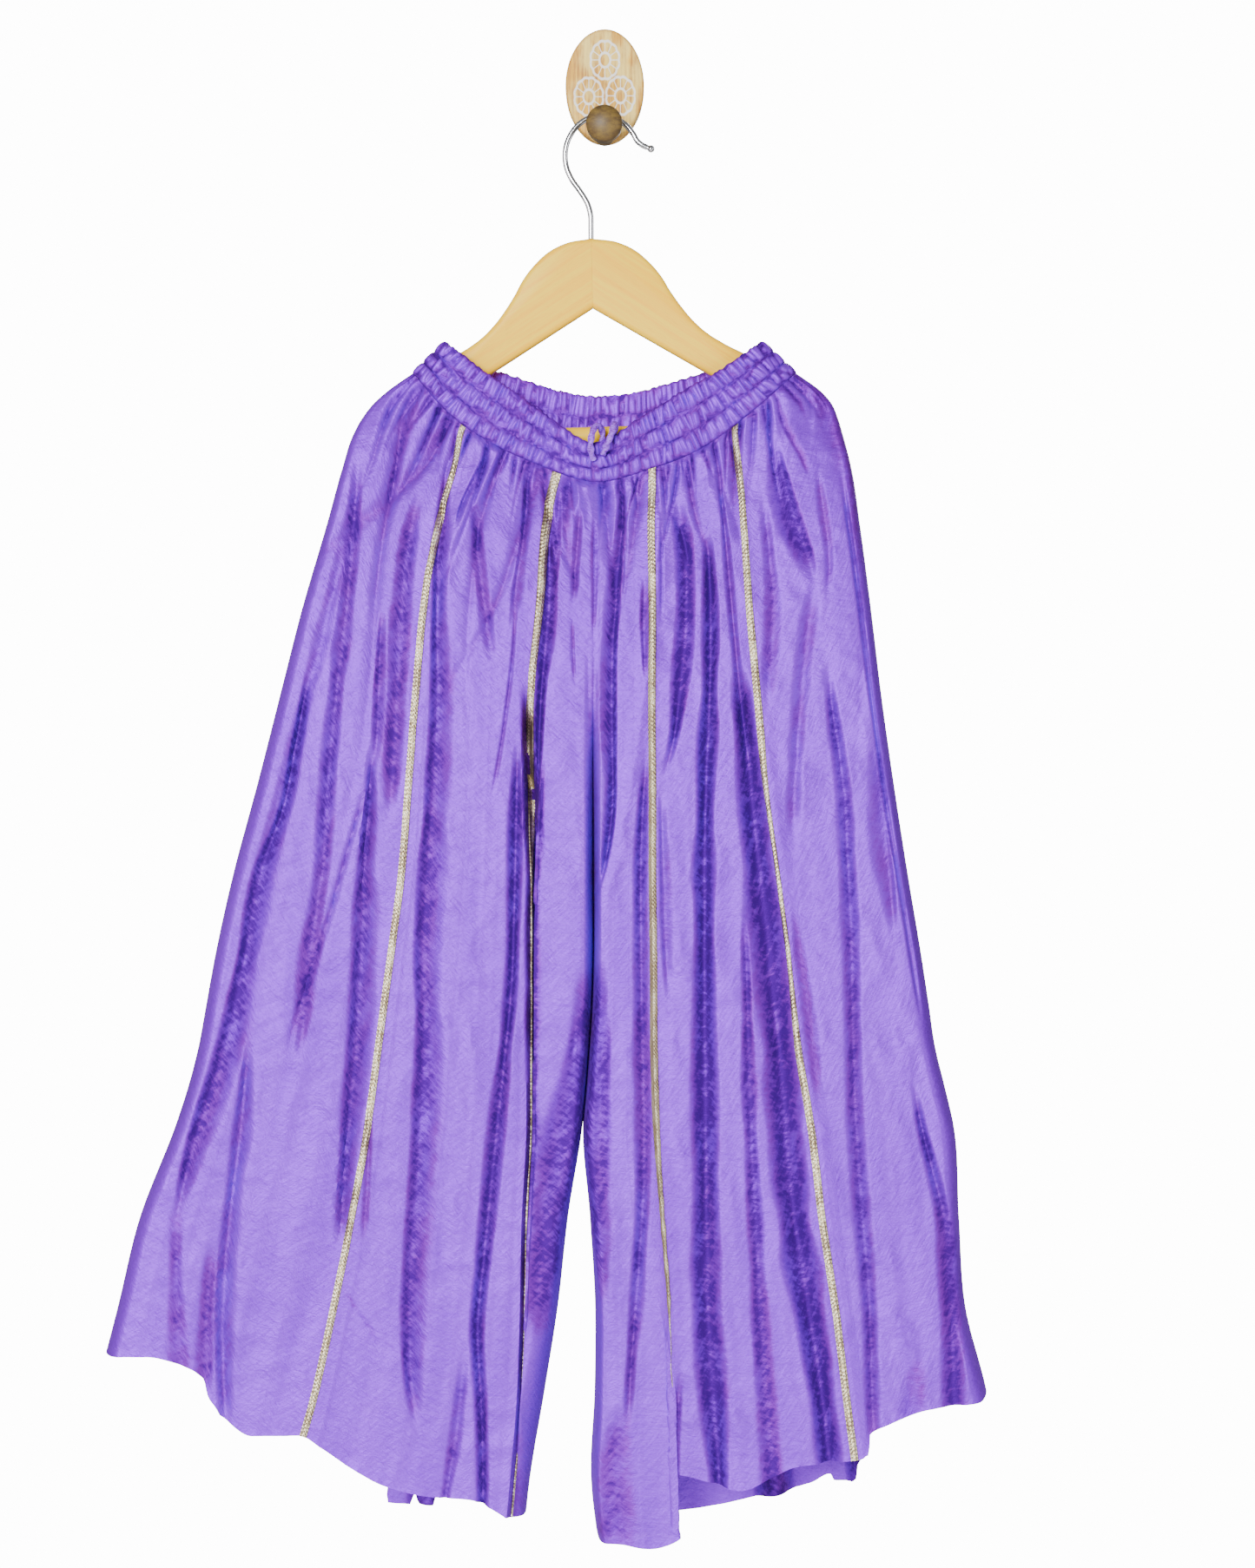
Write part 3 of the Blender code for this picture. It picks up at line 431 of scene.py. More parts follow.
bar_place = HANGER_TOP + tilt @ Vector((0, 0, -BAR_BELOW_TOP))
bar_turn = tilt @ Matrix.Rotation(math.radians(90), 3, "Y")
for side, toward in (("l", -1), ("r", 1)):
    shape = bmesh.new()
    corners = [
        shape.verts.new((toward * max(x, MITRE_GAP / 2), -ARM_THICK / 2, -drop))
        for x, drop in [*smooth_line(ARM_UPPER, LINE_STEPS), ARM_LOWER_END]
    ]
    shape.faces.new(corners)
    draw_out(shape, (0, ARM_THICK, 0))
    bmesh.ops.recalc_face_normals(shape, faces=shape.faces)
    rims = [
        edge for edge in shape.edges
        if abs(edge.verts[0].co.y - edge.verts[1].co.y) < ARM_THICK / 2
        and max(abs(v.co.x) for v in edge.verts) > TOUCH
    ]
    bmesh.ops.bevel(
        shape, geom=rims, offset=ARM_ROUND, segments=5, profile=0.5, affect="EDGES", material=-1
    )
    hanger_place(shape)
    wood = birch("birch_" + side, toward * ARM_ALONG)
    arm = piece("arm_" + side, shape, wood, "pale_wood", "hanger_arm_" + side, sharp=50)
    drilled(arm, WIRE_RADIUS + TOUCH, WIRE_HOLE, Matrix.Identity(3), HANGER_TOP)
    drilled(arm, BAR_RADIUS + TOUCH, 2 * (BAR_HALF + TOUCH), bar_turn, bar_place)

shape = rod(BAR_RADIUS, 2 * BAR_HALF, bar_turn, bar_place, 48)
piece("bar", shape, birch("birch_bar", 0.0), "pale_wood", "hanger_bar")


def unit(vectors):
    """Vectors drawn out or in to length 1."""
    return vectors / np.maximum(np.linalg.norm(vectors, axis=-1, keepdims=True), 1e-12)


def along_line(shape, points, radii, sides, twist=0.0, oval=0.0):
    """Wire or cord of changing radius through points, closed at its ends, oval and twisted if asked."""
    points = np.asarray(points, float)
    heading = unit(np.gradient(points, axis=0))
    across = np.cross(heading[0], (0.3, 0.9, 0.2))
    loops = []
    for number, (point, ahead, radius) in enumerate(zip(points, heading, radii)):
        across = unit(across - ahead * (across @ ahead))
        matrix = Matrix((across, np.cross(ahead, across), ahead)).transposed()
        matrix = matrix @ Matrix.Rotation(twist * number, 3, "Z")
        matrix = (matrix @ Matrix.Diagonal((1 + oval, 1 - oval, 1))).to_4x4()
        matrix.translation = Vector(point)
        ring = bmesh.ops.create_circle(shape, segments=sides, radius=radius, matrix=matrix)["verts"]
        loops.append(list({edge for vert in ring for edge in vert.link_edges}))
    for first, second in zip(loops, loops[1:]):
        bmesh.ops.bridge_loops(shape, edges=first + second)
    for loop in (loops[0], loops[-1]):
        bmesh.ops.contextual_create(shape, geom=loop)
    bmesh.ops.recalc_face_normals(shape, faces=shape.faces)


polished_steel, paint, shader = finish(
    "polished_steel", Base_Color=(0.74, 0.75, 0.76, 1), Metallic=1.0
)
smears = noise(object_space(paint), (0.004, 0.004, 0.012), detail=3)
coat(paint, shader, Roughness=smears * 0.16 + 0.08, Normal=bump(smears, 0.00001, 0.2))

# The wire ends in a small ball. Its steps and radii are in shares of the wire's radius.
wire = smooth_line([(x, HANGER_TOP.y, -drop) for x, drop in WIRE_LINE], LINE_STEPS)
heading = unit(wire[-1] - wire[-2])
line, radii = list(wire), [WIRE_RADIUS] * len(wire)
for share in np.linspace(0.15, 2.75, 12):
    bulge = BALL_RADIUS * math.sqrt(max(0, 1 - ((share - BALL_MIDDLE) / BALL_HALF) ** 2))
    line.append(wire[-1] + heading * WIRE_RADIUS * share)
    radii.append(WIRE_RADIUS * max(0.85 if share < 0.8 else 0.05, bulge))
shape = bmesh.new()
along_line(shape, line, radii, 20)
piece("wire_hook", shape, polished_steel, "chrome", "hanger_hook")


# The waistband is the same satin as the legs, sewn into a casing with three narrow channels. Elastic
# in each draws it up into some eighty fine ruffles at the front, on its outside and on its inside.
MIDDLE_Y = -0.040
TOWARD = {"front": -1, "back": 1}
SEAM_GAP = 0.00006
BAND_DEPTH = {"front": 0.0155, "back": 0.0145}
BAND_FOLD = 0.105
BAND_WALL = 0.0014
RUFFLES = {"front": 84, "back": 76}
RUFFLE_HIGH = 0.0026
INSIDE_RUFFLE = 0.0012
FRILL_HIGH = 0.0006
CHANNELS = 3
BAND_COLUMNS = {"front": 820, "back": 680}
BAND_ROWS = 31
ENDS_CLOSER = 0.03
PUFF_SQUARE = 0.30
TIE_SHARE = 0.515  # where the tie comes over the edge, and the lining lies smooth
TIE_CLEAR = 0.035
RUFFLE_CHANCE = {"front": 5, "back": 11}
FRILL_CHANCE = {"front": 77, "back": 78}

# At nine even steps round each half: its top edge's place across and drop, then its lower edge's.
BAND_EDGES = {
    "front": np.array([
        (-101, 168, -121.5, 188), (-79, 185.5, -99, 214), (-58, 200, -74, 232), (-36, 216, -47, 245),
        (-7, 233, -7, 258), (22, 218, 29, 250), (47, 202, 61, 237), (74, 186.5, 94, 213),
        (100, 168, 121.5, 188),
    ]) / 1000,
    "back": np.array([
        (-101, 168, -121.5, 188), (-79, 181, -94, 213), (-55, 189, -64, 229), (-30, 197.2, -34, 239),
        (-4, 201, -7, 243), (24, 197.2, 27, 239), (51, 189.5, 59, 229), (77, 181, 92, 213),
        (100, 168, 121.5, 188),
    ]) / 1000,
}
# The middle violet is both a tone that varies at random over the cloth and, with the plum, the half-shade
# painted in folds. The darkest violet is the shade painted deepest in folds and along crinkles.
SATIN_VIOLET = (0.240, 0.020, 0.790, 1)
SATIN_MIDDLE = (0.150, 0.004, 0.560, 1)
SATIN_PLUM = (0.175, 0.008, 0.420, 1)
SATIN_PAINTED_SHADE = (0.072, 0.000, 0.265, 1)
SATIN_PALE = (0.350, 0.095, 0.900, 1)


def satin(name, crinkle, weave):
    """Violet satin with a crosswise slub, fine slanting crinkles, and shade painted along the crinkles and
    in its folds. It reads the cloth's own map, in metres, and the fold shade painted on each point."""
    made, paint, shader = finish(
        name, Specular_IOR_Level=0.26, Specular_Tint=(0.95, 0.52, 1.0, 1),
        Sheen_Weight=0.03, Sheen_Roughness=0.5, Sheen_Tint=(0.80, 0.40, 1.0, 1),
    )
    cloth = paint.node("ShaderNodeUVMap", {"uv_map": "cloth"}, {})
    fold = paint.node("ShaderNodeAttribute", {"attribute_name": "fold"}, {}, "Fac")
    slub = noise(cloth, (0.022, 0.0008), detail=3, rough=0.6)
    thread = noise(cloth, (0.0015, 0.0007), detail=2, rough=0.7)
    clouds = noise(cloth, (0.022, 0.150), detail=2)
    blots = noise(cloth, (0.010, 0.024), -0.3, detail=2)
    lines = None
    for turn, long, thin in ((-0.65, 0.011, 0.0022), (-0.25, 0.016, 0.0030), (0.8, 0.014, 0.0032)):
        streak = noise(cloth, (long, thin), turn, detail=3, rough=0.6)
        lines = streak if lines is None else lines + streak
    lines = lines / 3
    colour = mix(step(clouds, 0.40, 0.68) * 0.48, SATIN_VIOLET, SATIN_MIDDLE)
    colour = mix(step(slub * 0.6 + thread * 0.4, 0.42, 0.66) * 0.22, colour, SATIN_PALE)
    # Painted shade along the slanting crinkles.
    colour = mix((1 - step(lines, 0.36, 0.50)) * 0.18, colour, SATIN_PAINTED_SHADE)
    # Painted shade in the folds, ragged at its edges: a plum or middle violet half-shade, then the dark
    # violet deepest in, which is also rougher and more metallic.
    ragged_fold_shade = fold * (1 + (lines - 0.5) * 4.0 + (blots - 0.5) * 1.4)
    fold_half_shade = mix(step(clouds + blots * 0.4, 0.52, 0.84), SATIN_MIDDLE, SATIN_PLUM)
    deep = step(ragged_fold_shade, 0.50, 1.05)
    colour = mix(step(ragged_fold_shade, 0.03, 0.60), colour, fold_half_shade)
    colour = mix(deep, colour, SATIN_PAINTED_SHADE)
    rough = thread * 0.14 + clouds * 0.08 + deep * 0.18 + 0.38
    relief = lines * (3 * crinkle) + slub * weave + thread * (0.6 * weave)
    normal = bump(relief, 0.0008, 0.6)
    metal = 0.45 + deep * 0.25
    coat(paint, shader, Base_Color=colour, Metallic=metal, Roughness=rough, Normal=normal)
    return made


def smooth_step(value, low, high):
    share = np.clip((value - low) / (high - low), 0, 1)
    return share * share * (3 - 2 * share)


def quarter_round(distance, radius):
    """0 at an edge, rising like a quarter circle to 1 at radius from it."""
    share = np.clip(distance / radius, 0, 1)
    return np.sqrt(1 - (1 - share) ** 2)


def band_points(side, share):
    """Outer points of the waistband's top and lower edge at shares round it."""
    share = np.clip(share, 0, 1)
    out = SEAM_GAP / 2 + BAND_DEPTH[side] * quarter_round(np.minimum(share, 1 - share), BAND_FOLD)
    y = MIDDLE_Y + TOWARD[side] * out
    stations = BAND_EDGES[side].T
    knots = np.linspace(0, 1, stations.shape[1])
    top_x, top_drop, low_x, low_drop = (curve_through(row, knots, share) for row in stations)
    return [np.stack([top_x, y, -top_drop], axis=-1), np.stack([low_x, y, -low_drop], axis=-1)]


def outward(normal, side):
    return unit(normal) if side == "front" else -unit(normal)


def band_normal(side, share):
    """Unit normal of the waistband's outer face."""
    top, low = band_points(side, share)
    ahead = sum(band_points(side, share + 0.002))
    behind = sum(band_points(side, share - 0.002))
    return outward(np.cross(low - top, ahead - behind), side)


def wavering(seed, knots, at, low=-1.0, high=1.0):
    """Smooth random line with so many knots over 0 to 1, the same each run."""
    values = np.random.RandomState(seed).uniform(low, high, knots + 1)
    return curve_through(values, np.linspace(0, 1, knots + 1), at)


def cloth_shell(name, outer, inner, fold, dressed, slot, *nodes, sharp=55):
    """Piece of cloth between two grids of points, with a map in metres along the cloth and the shade
    painted on each point for its folds."""
    rows, columns = outer.shape[:2]
    shape = bmesh.new()
    bmesh.ops.create_grid(shape, x_segments=columns - 1, y_segments=rows - 1, size=0.5)
    draw_out(shape, (0, 0, 1))
    flat = np.array([vertex.co for vertex in shape.verts], np.float32).astype(float)
    column = np.rint((flat[:, 0] + 0.5) * (columns - 1)).astype(int)
    row = np.rint((0.5 - flat[:, 1]) * (rows - 1)).astype(int)
    under = flat[:, 2] > 0.5
    placed = np.where(under[:, None], inner[row, column], outer[row, column])
    for vertex, place in zip(shape.verts, placed):
        vertex.co = place
    bmesh.ops.recalc_face_normals(shape, faces=shape.faces)
    made = piece(name, shape, dressed, slot, *nodes, sharp=sharp)
    mesh = made.data
    across = np.zeros((rows, columns))
    across[:, 1:] = np.cumsum(np.linalg.norm(np.diff(outer, axis=1), axis=2), axis=1)
    across -= across[:, columns // 2, None]
    down = np.zeros((rows, columns))
    down[1:] = np.cumsum(np.linalg.norm(np.diff(outer, axis=0), axis=2), axis=0)
    places = np.stack([across[row, column], -down[row, column]], axis=1)
    corner = np.zeros(len(mesh.loops), int)
    mesh.loops.foreach_get("vertex_index", corner)
    cloth_map = mesh.uv_layers.new(name="cloth")
    cloth_map.data.foreach_set("uv", places[corner].astype(np.float32).ravel())
    # The fold attribute is the shade painted on each point.
    depth = mesh.attributes.new("fold", "FLOAT", "POINT")
    depth.data.foreach_set("value", fold[row, column].astype(np.float32))
    return made


def ruffled_band(side):
    """Outer points and inner points of half of the waistband, and the shade painted on it between ruffles.
    """
    toward, count, columns = TOWARD[side], RUFFLES[side], BAND_COLUMNS[side]
    share = np.linspace(0, 1, columns)
    share = share - ENDS_CLOSER * np.sin(2 * math.pi * share)
    top, low = band_points(side, share)
    normal = band_normal(side, share)
    down = np.linspace(0, 1, BAND_ROWS)
    end_fade = smooth_step(np.minimum(share, 1 - share), 0.0, 0.006)
    plain = np.ones_like(share)
    if side == "front":
        plain = 1 - np.exp(-(((share - TIE_SHARE) / TIE_CLEAR) ** 2))
    relief = np.zeros((BAND_ROWS, columns))
    lining = np.zeros((BAND_ROWS, columns))
    for number in range(CHANNELS):
        inside = down * CHANNELS - number
        puff = np.clip(np.sin(math.pi * np.clip(inside, 0, 1)), 0, 1) ** PUFF_SQUARE
        chance = np.random.RandomState(31 * number + RUFFLE_CHANCE[side])
        centre = (np.arange(count) + chance.uniform(0.05, 0.95, count)) / count
        wide = chance.uniform(0.50, 0.95, count) / count
        lean = chance.normal(0, 0.45, count) / count
        tall = chance.uniform(0.45, 1.0, count)
        start, stop = chance.uniform(-0.5, 0.35, count), chance.uniform(0.65, 1.5, count)
        for k in np.nonzero((inside >= 0) & (inside <= 1))[0]:
            aside = np.abs(share[:, None] - centre - lean * (inside[k] - 0.5)) / wide
            there = smooth_step(inside[k], start, start + 0.25)
            there = there * (1 - smooth_step(inside[k], stop - 0.25, stop))
            ridge = ((1 - smooth_step(aside, 0.1, 1.0)) * tall * there).max(axis=1)
            relief[k] = np.maximum(relief[k], puff[k] * (0.25 + 0.75 * ridge))
            lining[k] = np.maximum(lining[k], puff[k] * (0.15 + 0.85 * ridge * plain))
    frill = FRILL_HIGH * wavering(FRILL_CHANCE[side], 150, share)
    outer = top[None] + (low - top)[None] * down[:, None, None]
    outer[..., 2] += np.exp(-(down / 0.05) ** 2)[:, None] * frill * end_fade
    inner = outer - normal * BAND_WALL - normal * (INSIDE_RUFFLE * lining * end_fade)[..., None]
    rolls = np.abs(np.sin(math.pi * CHANNELS * down))[:, None] ** 0.5
    raised = RUFFLE_HIGH * (relief * end_fade + 0.5 * rolls * (1 - end_fade))
    outer = outer + normal * raised[..., None]
    for grid in (outer, inner):
        depth = np.maximum(toward * (grid[..., 1] - MIDDLE_Y), SEAM_GAP / 2)
        grid[..., 1] = MIDDLE_Y + toward * depth
    # Painted shade between the ruffles and along the channels' stitching, none at the band's ends.
    return outer, inner, np.clip((0.60 - relief) / 0.5, 0, 0.80) * end_fade


band_satin = satin("ruffled_satin", 0.25, 0.35)
for side in ("front", "back"):
    band = cloth_shell(
        "band_" + side, *ruffled_band(side), band_satin, "satin", "waistband_" + side, sharp=75
    )


# Each leg is six flared panels of the satin, three in front and three behind, gathered on to the
# waistband and sewn to each other down their long edges. The hem is rolled narrow, and hangs free.
WALL = 0.0009
WAIST_DROP = 0.24
WAIST_BLEND = 0.07
HEM_DROP = 0.88
CROTCH_DROP = 0.507
RISE_START_DROP = 0.385
TAPE_WIDTH = 0.0048
LEG_ROWS = {"front": 256, "back": 120}
ROWS_CLOSER = 1.12
ROLL_HIGH = 0.00035
ROLL_WIDE = 0.0016
DEEPEST_SHARE = 0.85
FOLD_WAVES = 36
FOLD_ENDS = 0.035
SEAM_CALM = 0.02
PLEAT_CHANCE = {"front": 29, "back": 43}
CREASE_CHANCE = {"front": 17, "back": 19}

# How wide a leg's outer and inner edges round off, as a share of how far its cloth stands out. The
# least that it stands out over the hanger's arms, and the drops at which they end. How far the front
# laps over the back at the side seams, so that no light shows through them.
OUTER_ROUND = 0.32
INNER_ROUND = 0.16
ARM_CLEAR = 0.0082
ARM_ENDS = (0.242, 0.262)
FRONT_LAP = 0.00012

# By drop: the places across of the long seams and outlines, and how far out the cloth stands.
SECTION_ROWS = np.array([
    (188, -121.5, -84, -17, -7.03, -6.97, 28, 75.5, 121.5, 15, 14),
    (199, -137, -86, -19, -7.03, -6.97, 28, 76.3, 136.7, 15.5, 14.5),
    (207, -146, -87.5, -21, -7.03, -6.97, 28, 77.2, 143.8, 16, 15),
    (216, -153, -89.5, -22, -7.03, -6.97, 29, 78.2, 147.7, 16.5, 15.5),
    (227, -159, -93, -26.5, -7.03, -6.97, 29, 78.7, 151, 17.5, 16.5),
    (249, -166, -97, -33.3, -7.03, -6.97, 30, 81.6, 156.5, 19.5, 18),
    (282, -175, -105, -39.6, -7.03, -6.97, 29.5, 85.2, 161.4, 24, 21),
    (337, -191, -112.8, -41.8, -7.03, -6.97, 30.3, 90.5, 168.6, 29, 24),
    (392, -205, -117.7, -45.7, -7.03, -6.97, 29.7, 95.5, 175.2, 32, 26),
    (447, -219, -121.9, -46, -7.03, -6.97, 30.2, 100.8, 182.9, 33.5, 27),
    (507, -235, -126.6, -46, -6.98, -7.02, 30.2, 108.8, 192.2, 34.5, 28),
    (557, -246, -133.2, -46, -6.98, -7.02, 30.8, 115.4, 200.5, 35, 28.5),
    (590, -252, -137.6, -46, -7.98, -8.02, 31, 118.7, 205.5, 35.3, 28.8),
    (612, -256, -140.6, -46, -9.48, -9.52, 31.2, 120.9, 208.7, 35.5, 29),
    (640, -263.2, -144.3, -46, -11.58, -11.62, 32, 125.4, 215.4, 35.8, 29.3),
    (661, -270, -147.3, -46, -13.48, -13.52, 32.7, 128.7, 220.3, 36, 29.5),
    (722, -293.5, -157.8, -49, -23, -9.2, 36.7, 136.1, 224.1, 37, 30),
    (777, -307, -168.9, -50, -29.2, -6, 40.8, 144.3, 228, 38, 30.5),
    (832, -321, -181, -52, -37.8, -6.3, 42.4, 151, 241.7, 39, 31),
    (887, -333, -197, -56.5, -47, -8.5, 44.3, 158.2, 250, 40, 31.5),
    (935, -343, -211, -61, -52, -3, 45.4, 163.5, 256, 40, 32),
]) / 1000
SECTION_NAMES = "drop l_outer l_tape l_fold l_inner r_inner r_fold r_tape r_outer front back"
SECTIONS = dict(zip(SECTION_NAMES.split(), SECTION_ROWS.T))

STEEP = {"left": (0.60, 1.45), "right": (1.45, 0.60), "both": (1.0, 1.0)}
Fold = namedtuple("Fold", "across drops half depth shade steep along")


def fold(depth, shade, *line, steep="both", along=""):
    """A fold that dips in: how deep, how dark the shade painted on the cloth in it is, then places down
    its length, each the place across, the drop and the half width, its steeper side, and the outline it
    follows."""
    across, drops, half = np.array(line).T / 1000
    return Fold(across, drops, half, depth / 1000, shade, steep, along)
